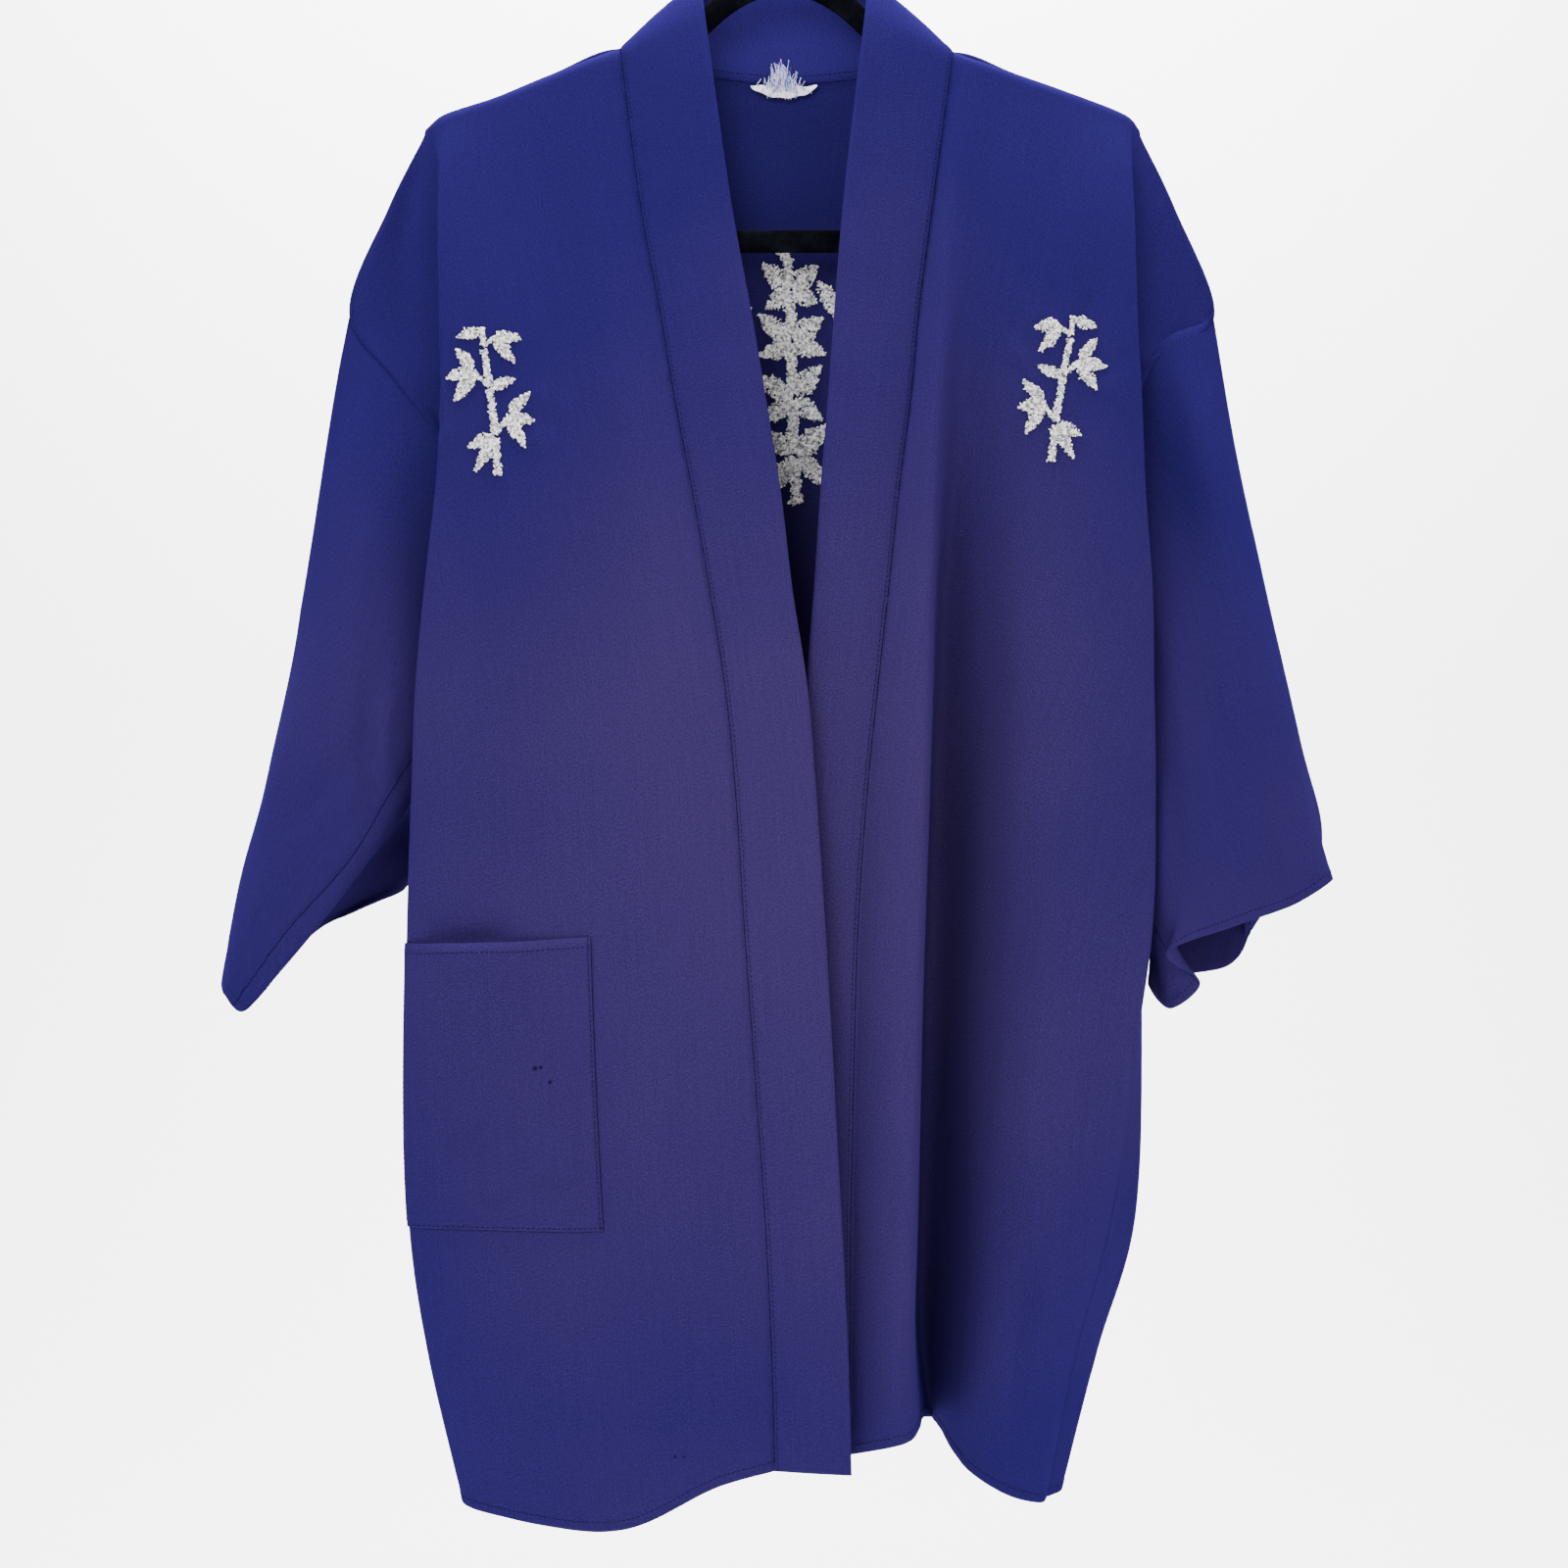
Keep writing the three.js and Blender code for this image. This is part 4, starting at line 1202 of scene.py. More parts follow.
@dataclass(frozen=True)
class Hem:
    """How a turned-up hem thickens the wall and puckers the cloth beside its stitching."""

    fold_step: float = 0.7
    extra_layer: float = 0.6
    groove: float = 0.25
    groove_in: float = 0.8
    groove_width: float = 0.9
    pucker: float = 0.3
    pucker_reach: float = 6.0
    fine_pucker: float = 0.22
    fine_in: float = 1.0
    fine_reach: float = 4.0
    fine_waves: tuple[float, ...] = (5.5, 7.5, 12.0)
    sway: float = 0.8
    sway_reach: float = 20.0
    sway_waves: tuple[float, ...] = (41.0, 67.0, 103.0)
    thinnest: float = 0.2

    def turn_up(self, grid: np.ndarray, seed: int, closed: bool = False
                ) -> tuple[np.ndarray, np.ndarray]:
        """Hems the foot of a grid.

        Args:
            grid: the grid.
            seed: picks the puckers.
            closed: whether the grid is a tube.

        Returns:
            The puckered grid and its wall thickness.
        """
        down = arc_lengths(grid, 0)
        from_foot = down[-1:] - down
        inside = from_foot - HEM_WIDTH
        across = arc_lengths(grid, 1)
        if closed:
            across = np.broadcast_to(across[-1], across.shape)
        turned = 1.0 / (1.0 + np.exp(inside / self.fold_step))
        thickness = edge_rounding(grid, CLOTH, "b") * (1.0 + self.extra_layer * turned)
        thickness -= self.groove * bell(inside + self.groove_in, self.groove_width)
        stitched = bell(inside + self.fine_in, self.fine_reach)
        loose = bell(from_foot, self.sway_reach)
        relief = self.pucker * ripple(across, seed) * bell(inside, self.pucker_reach)
        relief += self.fine_pucker * ripple(across, seed + 3, self.fine_waves) * stitched
        relief += self.sway * ripple(across, seed + 1, self.sway_waves) * loose
        grid = grid + normals_of(grid, closed) * relief[..., None]
        return grid, np.clip(thickness, self.thinnest, None)


# ---- Body ----


@dataclass
class Body:
    """The two fronts and the back, as they hang from the shoulders."""

    side_hold: float = 7.0
    seam_pucker: float = 0.35
    seam_pucker_reach: float = 9.0
    seam_waves: tuple[float, ...] = (9.0, 15.0, 23.0)
    seam_dip: float = 0.55
    seam_dip_reach: float = 1.8
    right_creases: tuple[Crease, ...] = (
        Crease((-196, -190), (-168, -560), 16, -2.0),
        Crease((-150, -150), (-118, -520), 26, 1.6),
        Crease((-130, -430), (-92, -940), 20, -1.8),
        Crease((-205, -560), (-176, -1000), 15, 2.0),
        Crease((-86, -520), (-52, -960), 14, 1.8),
        Crease((-160, -860), (-140, -1015), 13, -2.2),
        Crease((-98, -900), (-84, -1010), 10, 2.0),
        Crease((-214, -664), (-160, -661), 7, -3.5),
        Crease((-225, -170), (-229, -330), 9, -4.0),
    )
    left_creases: tuple[Crease, ...] = (
        Crease((206, -200), (188, -520), 14, -2.4),
        Crease((150, -160), (150, -560), 20, 1.6),
        Crease((130, -470), (120, -960), 13, -2.0),
        Crease((186, -560), (160, -930), 15, 2.4),
        Crease((206, -640), (176, -900), 8, -1.6),
        Crease((168, -800), (140, -1000), 9, -2.0),
        Crease((60, -560), (54, -930), 9, -1.4),
    )
    back_creases: tuple[Crease, ...] = (
        Crease((-20, -170), (-6, -480), 20, -2.5),
        Crease((40, -200), (26, -520), 14, 2.2),
        Crease((-150, -300), (-120, -900), 18, 3.0),
        Crease((-70, -420), (-60, -960), 15, -3.0),
        Crease((60, -480), (66, -970), 15, 3.0),
        Crease((150, -260), (130, -880), 18, -3.0),
        Crease((-190, -380), (-196, -900), 12, 2.5),
        Crease((190, -420), (180, -940), 12, 2.5),
    )

    def right_front(self) -> Cloth:
        """The wearer's right front.

        Returns:
            Its cloth.
        """
        flat = part_at_seams(panel_grid(RIGHT_FRONT, RIGHT_FRONT_STEPS), -1.0)
        grid = add_creases(flat, self.right_creases, Side.IN)
        grid = self.pucker_collar_seam(grid, Side.IN, seed=11)
        grid = pucker_round(grid, RIGHT_CHEST, Side.IN)
        grid, thickness = Hem().turn_up(grid, seed=21)
        return Cloth(self.held_at_sides(grid, flat), thickness, Side.IN)

    def left_front(self) -> Cloth:
        """The wearer's left front.

        Returns:
            Its cloth.
        """
        flat = part_at_seams(panel_grid(LEFT_FRONT, LEFT_FRONT_STEPS), -1.0)
        grid = add_creases(flat, self.left_creases, Side.OUT)
        grid = self.pucker_collar_seam(grid, Side.OUT, seed=12)
        grid = pucker_round(grid, LEFT_CHEST, Side.OUT)
        grid, thickness = Hem().turn_up(grid, seed=22)
        return Cloth(self.held_at_sides(grid, flat), thickness, Side.OUT)

    def back(self) -> Cloth:
        """The back; its grid's normals face the wearer.

        Returns:
            Its cloth.
        """
        flat = part_at_seams(panel_grid(BACK, BACK_STEPS, eased=False), 1.0)
        grid = add_creases(flat, self.back_creases, Side.IN)
        grid, thickness = Hem().turn_up(grid, seed=23)
        return Cloth(self.held_at_sides(grid, flat, both=True), thickness, Side.IN)

    @staticmethod
    def close_side(front: Cloth, back: Cloth, column: int) -> None:
        """Brings the side edges of a front and the back together below the underarm.

        Args:
            front: the front; its last column is its side edge.
            back: the back.
            column: 0 for the back's right edge, -1 for its left edge.
        """
        first = mesh_row(ARMHOLE_LAST)
        middle = (front.grid[first:, -1] + back.grid[first:, column]) / 2
        front.grid[first:, -1] = middle
        back.grid[first:, column] = middle

    def held_at_sides(self, grid: np.ndarray, flat: np.ndarray, both: bool = False
                      ) -> np.ndarray:
        """Brings a creased panel back to its side seams, where the next panel holds it.

        Args:
            grid: the creased panel.
            flat: the panel without its creases.
            both: whether its first column is a side seam too.

        Returns:
            The panel, creased up to a short way from its side seams.
        """
        across = arc_lengths(flat, 1)
        from_side = across[:, -1:] - across
        if both:
            from_side = np.minimum(from_side, across)
        held = bell(from_side, self.side_hold)
        return grid + (flat - grid) * held[..., None]

    def pucker_collar_seam(self, grid: np.ndarray, side: Side, seed: int) -> np.ndarray:
        """Puckers a front beside its collar seam and draws the seam itself in.

        Args:
            grid: the front's grid.
            side: which face is outside.
            seed: picks the puckers.

        Returns:
            The puckered grid.
        """
        across = arc_lengths(grid, 1)
        down = arc_lengths(grid, 0)
        near = bell(across, self.seam_pucker_reach) * (across > 0)
        relief = self.seam_pucker * ripple(down, seed, self.seam_waves) * near
        relief -= side.value * self.seam_dip * bell(across, self.seam_dip_reach)
        return grid + normals_of(grid) * relief[..., None]


# ---- Sleeves ----


RIGHT_SLEEVE_CREASES: tuple[Crease, ...] = (
    Crease((-262, -320), (-300, -560), 14, -2.4),
    Crease((-232, -360), (-262, -600), 12, 2.4),
    Crease((-300, -470), (-318, -660), 9, -1.8),
    Crease((-238, -540), (-300, -610), 8, -2.6),
    Crease((-228, -590), (-310, -668), 7, 1.8),
    Crease((-248, -500), (-246, -596), 6, -3.0),
    Crease((-238, -520), (-237, -580), 5, 1.6),
)
LEFT_SLEEVE_CREASES: tuple[Crease, ...] = (
    Crease((250, -320), (262, -520), 12, -2.2),
    Crease((236, -400), (250, -660), 10, 2.6),
    Crease((276, -420), (296, -650), 12, -2.4),
    Crease((300, -520), (318, -640), 8, 1.8),
    Crease((232, -560), (236, -670), 7, -1.8),
)


@dataclass
class Armhole:
    """The armhole's edge, down the front, across the underarm and up the back."""

    edge: np.ndarray
    inward: np.ndarray

    @staticmethod
    def between(front: Cloth, back: Cloth, front_column: int, back_column: int) -> "Armhole":
        """Reads the armhole from the panels at its two sides.

        Args:
            front: a front.
            back: the back.
            front_column: the front's side column.
            back_column: the back's side column.

        Returns:
            The armhole, with RING_STEPS places for each span of a sleeve's ring.
        """
        names = list(RIGHT_FRONT)
        names = names[names.index(ARMHOLE_FIRST):names.index(ARMHOLE_LAST) + 1]
        sections = [mesh_row(name) for name in names]
        rows = np.concatenate([np.linspace(a, b, RING_STEPS, endpoint=False)
                               for a, b in zip(sections, sections[1:])] + [[sections[-1]]])
        gap = np.linspace(0.0, 1.0, RING_STEPS, endpoint=False)[1:, None]

        def ring(down: np.ndarray, up: np.ndarray) -> np.ndarray:
            """Joins a front column and a back column into a ring.

            Args:
                down: the front's column.
                up: the back's column.

            Returns:
                The ring.
            """
            at = np.arange(len(down))
            down, up = read_line(down, at, rows), read_line(up, at, rows)[::-1]
            under = down[-1] * (1 - gap) + up[0] * gap
            top = up[-1] * (1 - gap) + down[0] * gap
            return np.concatenate([down, under, up, top])

        edge = ring(front.grid[:, front_column], back.grid[:, back_column])
        insides = [-normals_of(cloth.grid)[:, column] * cloth.side.value
                   for cloth, column in ((front, front_column), (back, back_column))]
        return Armhole(edge, unit(ring(*insides)))


@dataclass
class Sleeve:
    """One sleeve: a wide tube from the armhole to the hemmed cuff."""

    table: Table
    creases: tuple[Crease, ...]
    seed: int
    seam_reach: float = 5.0
    seam_dip: float = 0.6
    seam_pucker: float = 0.35
    seam_waves: tuple[float, ...] = (9.0, 14.0, 25.0)
    # How far below the armhole's edge the sleeve starts and its seam allowance lies, in walls.
    start_depth: float = 0.7
    allowance_depth: float = 1.2

    def cloth(self, armhole: Armhole) -> Cloth:
        """Makes the sleeve, with a seam allowance that passes under the armhole's edge.

        Args:
            armhole: what it is sewn to.

        Returns:
            The sleeve's cloth.
        """
        rings = rows_of(self.table).transpose(1, 0, 2)
        steps = (RING_STEPS,) * len(rings)
        rings = smooth(rings, steps, closed=True).transpose(1, 0, 2)
        away = unit(rings[0] - armhole.edge)
        start = armhole.edge + away * SLEEVE_SEAM + armhole.inward * CLOTH * self.start_depth
        lines = np.concatenate([start[None], rings])
        steps = (SLEEVE_STEPS,) * (len(self.table) - 1) + (CUFF_STEPS,)
        grid = smooth(lines, steps, ease=(EDGE_EASE, EDGE_EASE))
        under = [armhole.edge - away * reach + armhole.inward * CLOTH * self.allowance_depth
                 for reach in (SEAM_ALLOWANCE, 1.0)]
        grid = np.concatenate([np.array(under), grid])
        grid = add_creases(grid, self.creases, Side.OUT, closed=True)
        across = arc_lengths(grid, 1)
        seam = SLEEVE_SEAM_LINE * RING_STEPS
        beside = bell(across - across[:, seam:seam + 1], self.seam_reach)
        puckers = ripple(arc_lengths(grid, 0), self.seed + 2, self.seam_waves)
        relief = (self.seam_pucker * puckers - self.seam_dip) * beside
        grid = grid + normals_of(grid, True) * relief[..., None]
        grid, thickness = Hem().turn_up(grid, self.seed, closed=True)
        outward = grid - grid.mean(axis=1, keepdims=True)
        side = Side.OUT if (outward * normals_of(grid, True)).sum() > 0 else Side.IN
        return Cloth(grid, thickness, side, closed=True)

    @staticmethod
    def underarm_seam(cloth: Cloth) -> Stitches:
        """Close dark stitches in the ditch of the seam that joins the sleeve's front to its back, as
        painted shade of the ditch.

        Args:
            cloth: the sleeve.

        Returns:
            The stitches.
        """
        column = SLEEVE_SEAM_LINE * RING_STEPS
        places, normals = cloth.face(lift=0.05)
        return ditch_along(places[2:, column], normals[2:, column])


# ---- Collar ----


@dataclass
class Collar:
    """The long band, folded double, from hem to hem round the neck."""

    columns: int = 26
    fullness: float = 0.9
    ease: float = 1.4
    topstitch: float = 2.2
    nape_topstitch: float = 5.5
    sway: float = 0.35
    sway_waves: tuple[float, ...] = (37.0, 61.0, 97.0)
    pucker: float = 0.25
    pucker_waves: tuple[float, ...] = (8.0, 13.0, 21.0)
    pucker_fade: float = 7.0
    thinning: float = 0.45
    thinning_reach: float = 2.6

    def cloth(self, right: np.ndarray, left: np.ndarray, back: np.ndarray) -> Cloth:
        """Makes the band from the edges it is sewn to.

        Args:
            right: grid of the right front.
            left: grid of the left front.
            back: grid of the back.

        Returns:
            The collar's cloth.
        """
        first = sum(BACK_STEPS[:NECK_SPANS])
        nape = back[0, first + 1:back.shape[1] - first - 1]
        seam = np.concatenate([right[::-1, 0], nape, left[:, 0]])
        edge = np.concatenate([self.edge(COLLAR_RIGHT)[::-1], self.nape_edge(len(nape)),
                               self.edge(COLLAR_LEFT)])
        across = edge - seam
        start = seam + unit(across) * COLLAR_SEAM
        part = (np.linspace(0.0, 1.0, self.columns) ** self.ease)[None, :, None]
        grid = start[:, None] * (1 - part) + edge[:, None] * part
        down = arc_lengths(grid, 0)
        bulge = self.fullness * np.sin(math.pi * part[..., 0])
        bulge = bulge + self.sway * ripple(down, 31, self.sway_waves) * part[..., 0]
        near = np.exp(-part[..., 0] * self.pucker_fade)
        bulge = bulge + self.pucker * ripple(down, 32, self.pucker_waves) * near
        grid = grid - normals_of(grid) * bulge[..., None]
        thickness = edge_rounding(grid, COLLAR_CLOTH, "tblr")
        thickness *= 1 - self.thinning * bell(arc_lengths(grid, 1), self.thinning_reach)
        return Cloth(grid, thickness, Side.IN)

    @staticmethod
    def seam(band: Cloth, side: Side | None = None, first: int = 0, last: int | None = None
             ) -> Stitches:
        """Close dark stitches in the ditch where the band is sewn on, as painted shade of the ditch.

        Args:
            band: the collar.
            side: the face wanted; the outside where left out.
            first: first row.
            last: row after the last.

        Returns:
            The stitches.
        """
        places, normals = band.face(side, lift=0.3)
        return ditch_along(places[first:last, 0], normals[first:last, 0])

    @staticmethod
    def edge(line: Line) -> np.ndarray:
        """One front's free edge at every fine row."""
        return smooth(np.array(line, dtype=float), ROW_STEPS, ease=(1.0, EDGE_EASE))

    @staticmethod
    def tuck_in(band: Cloth, right: Cloth, left: Cloth, back: Cloth) -> None:
        """Runs the seam allowances of the fronts and the back up inside the band.

        Args:
            band: the collar.
            right: the right front.
            left: the left front.
            back: the back.
        """
        rows = len(right.grid)
        inside = band.grid[:, (6, 3)]
        for front, allowance in ((right, inside[:rows][::-1]), (left, inside[-rows:])):
            front.grid = np.concatenate([allowance, front.grid], axis=1)
            front.thickness = np.pad(front.thickness, ((0, 0), (2, 0)), mode="edge")
        first = sum(BACK_STEPS[:NECK_SPANS])
        nape = inside[rows:-rows].transpose(1, 0, 2)
        turned = np.stack([back.grid[0] - (0.0, 0.0, drop) for drop in (4.0, 1.5)])
        turned[:, first + 1:-first - 1] = nape
        back.grid = np.concatenate([turned, back.grid])
        back.thickness = np.pad(back.thickness, ((2, 0), (0, 0)), mode="edge")

    @staticmethod
    def nape_edge(count: int) -> np.ndarray:
        """The free edge round the nape, without its ends.

        Args:
            count: how many places to read.

        Returns:
            The places.
        """
        fine = smooth(np.array(COLLAR_NAPE, dtype=float), (NAPE_STEPS,) * (len(COLLAR_NAPE) - 1))
        where = np.linspace(0, len(fine) - 1, count + 2)[1:-1]
        return read_line(fine, np.arange(len(fine)), where)


# ---- Pocket ----


@dataclass
class Pocket:
    """The patch pocket on the right front, with a turned mouth that stands open."""

    lift: float = 1.4
    gape: float = 8.0
    gape_reach: float = 58.0
    gape_lean: float = 1.5
    side_stitch: float = 1.6
    mouth_stitch: float = 6.0
    mouth_pucker: float = 0.22
    mouth_reach: float = 5.0
    extra_layer: float = 0.5
    fold_step: float = 0.7
    creases: tuple[Crease, ...] = (
        Crease((-216, -706), (-150, -700), 9, -1.3),
        Crease((-140, -676), (-126, -780), 8, 1.0),
        Crease((-206, -767), (-176, -757), 10, 1.9),
        Crease((-205, -785), (-177, -775), 8, -1.5),
        Crease((-184, -811), (-162, -793), 9, 2.3),
        Crease((-160, -791), (-122, -794), 9, 2.3),
        Crease((-180, -826), (-156, -806), 8, -1.9),
        Crease((-154, -804), (-121, -811), 8, -1.9),
    )

    def cloth(self, front: np.ndarray) -> Cloth:
        """Makes the pocket from the front's own points.

        Args:
            front: grid of the right front.

        Returns:
            The pocket's cloth.
        """
        top, foot = mesh_row("pocket_top"), mesh_row("pocket_foot")
        inner = sum(RIGHT_FRONT_STEPS[:2])
        outer = inner + sum(RIGHT_FRONT_STEPS[2:4])
        lifted = front - normals_of(front) * self.lift
        grid = lifted[top:foot + 1, inner:outer + 1]
        down, across = arc_lengths(grid, 0), arc_lengths(grid, 1)
        part = across / across[:, -1:]
        swell = np.sin(math.pi * part ** self.gape_lean) ** 2
        open_by = self.gape * swell * bell(down, self.gape_reach)
        grid = grid.copy()
        grid[..., 1] -= open_by
        grid = add_creases(grid, self.creases, Side.IN)
        below = down - self.mouth_stitch
        relief = self.mouth_pucker * ripple(across, 41) * bell(below, self.mouth_reach)
        grid = grid + normals_of(grid) * relief[..., None]
        thickness = edge_rounding(grid, CLOTH, "tblr")
        thickness *= 1 + self.extra_layer / (1 + np.exp(below / self.fold_step))
        return Cloth(grid, thickness, Side.IN)

    def topstitching(self, cloth: Cloth) -> Stitches:
        """Stitches down both sides, across the foot and along the turned mouth.

        Args:
            cloth: the pocket.

        Returns:
            The stitches.
        """
        return Stitches.joined([
            cloth.stitch_column(self.side_stitch),
            cloth.stitch_column(self.side_stitch, from_end=True),
            cloth.stitch_row(self.side_stitch),
            cloth.stitch_row(self.mouth_stitch, from_foot=False),
        ])

    @staticmethod
    def seam(cloth: Cloth) -> Stitches:
        """Close dark stitches under the pocket's edge, down both sides and across the foot, as the pocket
        edge's painted shadow.

        Args:
            cloth: the pocket.

        Returns:
            The stitches.
        """
        places, normals = cloth.face(lift=-0.5)
        borders = ((slice(None), 0), (slice(None), -1), (-1, slice(None)))
        return Stitches.joined([ditch_along(places[border], normals[border])
                                for border in borders])


# ---- Embroidery ----


class Part(Enum):
    """What a stroke of the bamboo sprig is."""

    STEM = "stem"
    LEAF = "leaf"


@dataclass(frozen=True)
class Stroke:
    """One stem joint or leaf of the sprig, from (across, up) to (across, up), and its width."""

    kind: Part
    start: tuple[float, float]
    end: tuple[float, float]
    width: float

    def width_at(self, part: np.ndarray) -> np.ndarray:
        """Works out the width along the stroke.

        Args:
            part: how far along, from 0 to 1.

        Returns:
            Widths, before the sprig's scale.
        """
        if self.kind is Part.STEM:
            return self.width * (0.85 + 0.3 * (2 * part - 1) ** 2)
        return self.width * (np.sin(math.pi * np.clip(part, 0.04, 0.97) ** 0.75) + 0.12)


def stem(start: tuple[float, float], end: tuple[float, float], width: float) -> Stroke:
    """One joint of a stem."""
    return Stroke(Part.STEM, start, end, width)


def leaf(start: tuple[float, float], end: tuple[float, float], width: float) -> Stroke:
    """One leaf."""
    return Stroke(Part.LEAF, start, end, width)


SPRIG: tuple[Stroke, ...] = (
    stem((4, -47), (3, -24), 4.8), stem((3, -21), (0, 7), 4.6), stem((0, 10), (-3, 32), 4.2),
    stem((-3, 35), (-4, 46), 3.6), stem((3, -21), (12, -10), 3.0), stem((0, 9), (-10, 18), 3.0),
    stem((-3, 34), (5, 40), 2.6),
    leaf((12, -10), (27, -14), 7.6), leaf((11, -11), (21, -30), 7.6), leaf((12, -8), (25, 4), 6.6),
    leaf((-10, 18), (-27, 15), 7.6), leaf((-9, 17), (-22, 0), 7.6), leaf((-10, 20), (-20, 33), 6.6),
    leaf((5, 41), (20, 38), 7.0), leaf((4, 39), (16, 23), 7.2), leaf((-5, 44), (-19, 40), 6.6),
    leaf((2, -23), (-14, -29), 7.6), leaf((2, -25), (-10, -44), 7.0), leaf((1, 8), (16, 13), 6.4),
)
GROVE: tuple[Stroke, ...] = (
    stem((2, -48), (2, -31), 5.0), stem((2, -28), (1, -9), 5.0), stem((1, -6), (0, 13), 4.8),
    stem((0, 16), (-1, 33), 4.4), stem((-1, 36), (-1, 46), 3.6),
    stem((-18, -46), (-17, -10), 4.0), stem((-17, -7), (-19, 24), 3.6),
    stem((21, -47), (20, -16), 4.0), stem((20, -13), (22, 16), 3.6),
    leaf((1, -28), (14, -21), 7.4), leaf((1, -29), (-12, -19), 7.8), leaf((2, -30), (11, -43), 7.0),
    leaf((0, -30), (-10, -42), 6.6), leaf((0, -6), (-11, 4), 7.8), leaf((1, -7), (15, 1), 7.2),
    leaf((0, -8), (-10, -17), 6.6), leaf((1, -8), (13, -16), 6.8), leaf((0, 14), (12, 25), 7.4),
    leaf((-1, 15), (-13, 22), 7.8), leaf((0, 13), (13, 9), 6.6), leaf((-1, 14), (-13, 8), 6.4),
    leaf((-1, 34), (9, 44), 7.0), leaf((-2, 34), (-12, 42), 7.2), leaf((-1, 33), (9, 27), 6.6),
    leaf((-2, 33), (-11, 28), 6.4), leaf((-1, 44), (3, 56), 5.4),
    leaf((-17, -8), (-29, 2), 7.4), leaf((-18, -9), (-28, -20), 7.0),
    leaf((-19, 24), (-30, 30), 7.0), leaf((-19, 23), (-12, 36), 6.4),
    leaf((20, -14), (31, -6), 7.4), leaf((21, -16), (30, -28), 7.0),
    leaf((22, 16), (32, 22), 7.0), leaf((22, 15), (15, 28), 6.4),
)


@dataclass(frozen=True)
class Motif:
    """One embroidered bamboo sprig: where it is on the coat, its scale and its turn."""

    name: str
    strokes: tuple[Stroke, ...]
    centre: tuple[float, float]
    scale: float
    turn: float
    mirrored: bool
    seed: int
    pitch: float = 0.85
    thread: float = 1.0
    # The cloth round it: half of the puckered oval, its ring of puckers, and its dip.
    reach: tuple[float, float] = (30.0, 50.0)
    ring: tuple[float, float] = (1.05, 0.3)
    pucker: float = 0.35
    dip: float = 0.5
    dip_reach: float = 0.9

    def placed(self, across: np.ndarray, up: np.ndarray) -> np.ndarray:
        """Turns and moves places of the sprig onto the front view.

        Args:
            across: places across the sprig.
            up: places up the sprig.

        Returns:
            (across, up) on the coat, mm.
        """
        sign = -1.0 if self.mirrored else 1.0
        angle = math.radians(self.turn)
        x, z = across * sign * self.scale, up * self.scale
        return np.stack([self.centre[0] + x * math.cos(angle) - z * math.sin(angle),
                         self.centre[1] + x * math.sin(angle) + z * math.cos(angle)], -1)

    def drawn(self) -> list[tuple[np.ndarray, np.ndarray, float, float]]:
        """Fills every stroke with satin stitches, loops and stray ends on the front view.

        Returns:
            Place, direction, length and height above the cloth of each stitch.
        """
        rng = np.random.default_rng(self.seed)
        rows = []
        for stroke in self.strokes:
            a = self.placed(np.array(stroke.start[0]), np.array(stroke.start[1]))
            b = self.placed(np.array(stroke.end[0]), np.array(stroke.end[1]))
            length = float(np.linalg.norm(b - a))
            lead = (b - a) / length
            cross = np.array([-lead[1], lead[0]])
            count = max(int(length / self.pitch), 2)
            part = (np.arange(count) + 0.5) / count
            wide = stroke.width_at(part) * self.scale
            for t, w in zip(part, wide):
                # One satin stitch across the stroke.
                slant = math.radians(rng.uniform(-30, 30))
                aim = cross * math.cos(slant) + lead * math.sin(slant)
                size = w * rng.uniform(0.85, 1.1)
                shift = cross * rng.uniform(-0.08, 0.08) * w
                rows.append((a + (b - a) * t + shift, aim, size, rng.uniform(0.35, 0.55)))
                # Short loops that lie every way on top of it.
                for _ in range(int(w / 1.15) + 1):
                    spot = a + (b - a) * t + cross * rng.uniform(-0.5, 0.5) * w
                    spot = spot + lead * rng.uniform(-0.5, 0.5)
                    spin = rng.uniform(-math.pi, math.pi)
                    aim = lead * math.cos(spin) + cross * math.sin(spin)
                    rows.append((spot, aim, rng.uniform(1.1, 2.0), rng.uniform(0.65, 1.25)))
                # Now and then an end that sticks out over the border.
                if rng.random() < 0.10:
                    spot = a + (b - a) * t + cross * rng.choice((-0.55, 0.55)) * w
                    spin = rng.uniform(-1.5, 1.5)
                    aim = cross * math.cos(spin) + lead * math.sin(spin)
                    rows.append((spot, aim, rng.uniform(1.8, 3.6), rng.uniform(0.15, 0.5)))
        return rows

    def stitches(self, surface: BVHTree, start_y: float, ahead: float = 1.0) -> Stitches:
        """Lays the drawn stitches on a surface.

        Args:
            surface: the cloth's face.
            start_y: where rays that look for the cloth start, mm.
            ahead: 1 to look backwards through the coat, -1 to look forwards.

        Returns:
            The stitches.
        """
        centres, along, facing, lengths = [], [], [], []
        for spot, aim, size, height in self.drawn():
            origin = Vector((spot[0], start_y, spot[1]))
            hit, normal, _, _ = surface.ray_cast(origin, Vector((0.0, ahead, 0.0)))
            if hit is None:
                continue
            if normal.y * ahead > 0:
                normal = -normal
            lead3 = Vector((aim[0], 0.0, aim[1]))
            lead3 = (lead3 - normal * lead3.dot(normal)).normalized()
            centres.append(hit + normal * height)
            along.append(lead3)
            facing.append(normal)
            lengths.append(size)
        return Stitches(np.array(centres), np.array(along), np.array(facing), np.array(lengths))


RIGHT_CHEST = Motif("right_chest_sprig", SPRIG, (-177.0, -344.0), 0.97, 2.0, False, 51)
LEFT_CHEST = Motif("left_chest_sprig", SPRIG, (168.0, -336.0), 0.95, -4.0, True, 52)
BACK_INSIDE = Motif("back_sprig_inside", GROVE, (6.0, -322.0), 1.62, 4.0, True, 53, 1.1, 1.3)
BACK_OUTSIDE = Motif("back_sprig_outside", GROVE, (6.0, -322.0), 1.62, 4.0, True, 54, 1.1, 1.3)


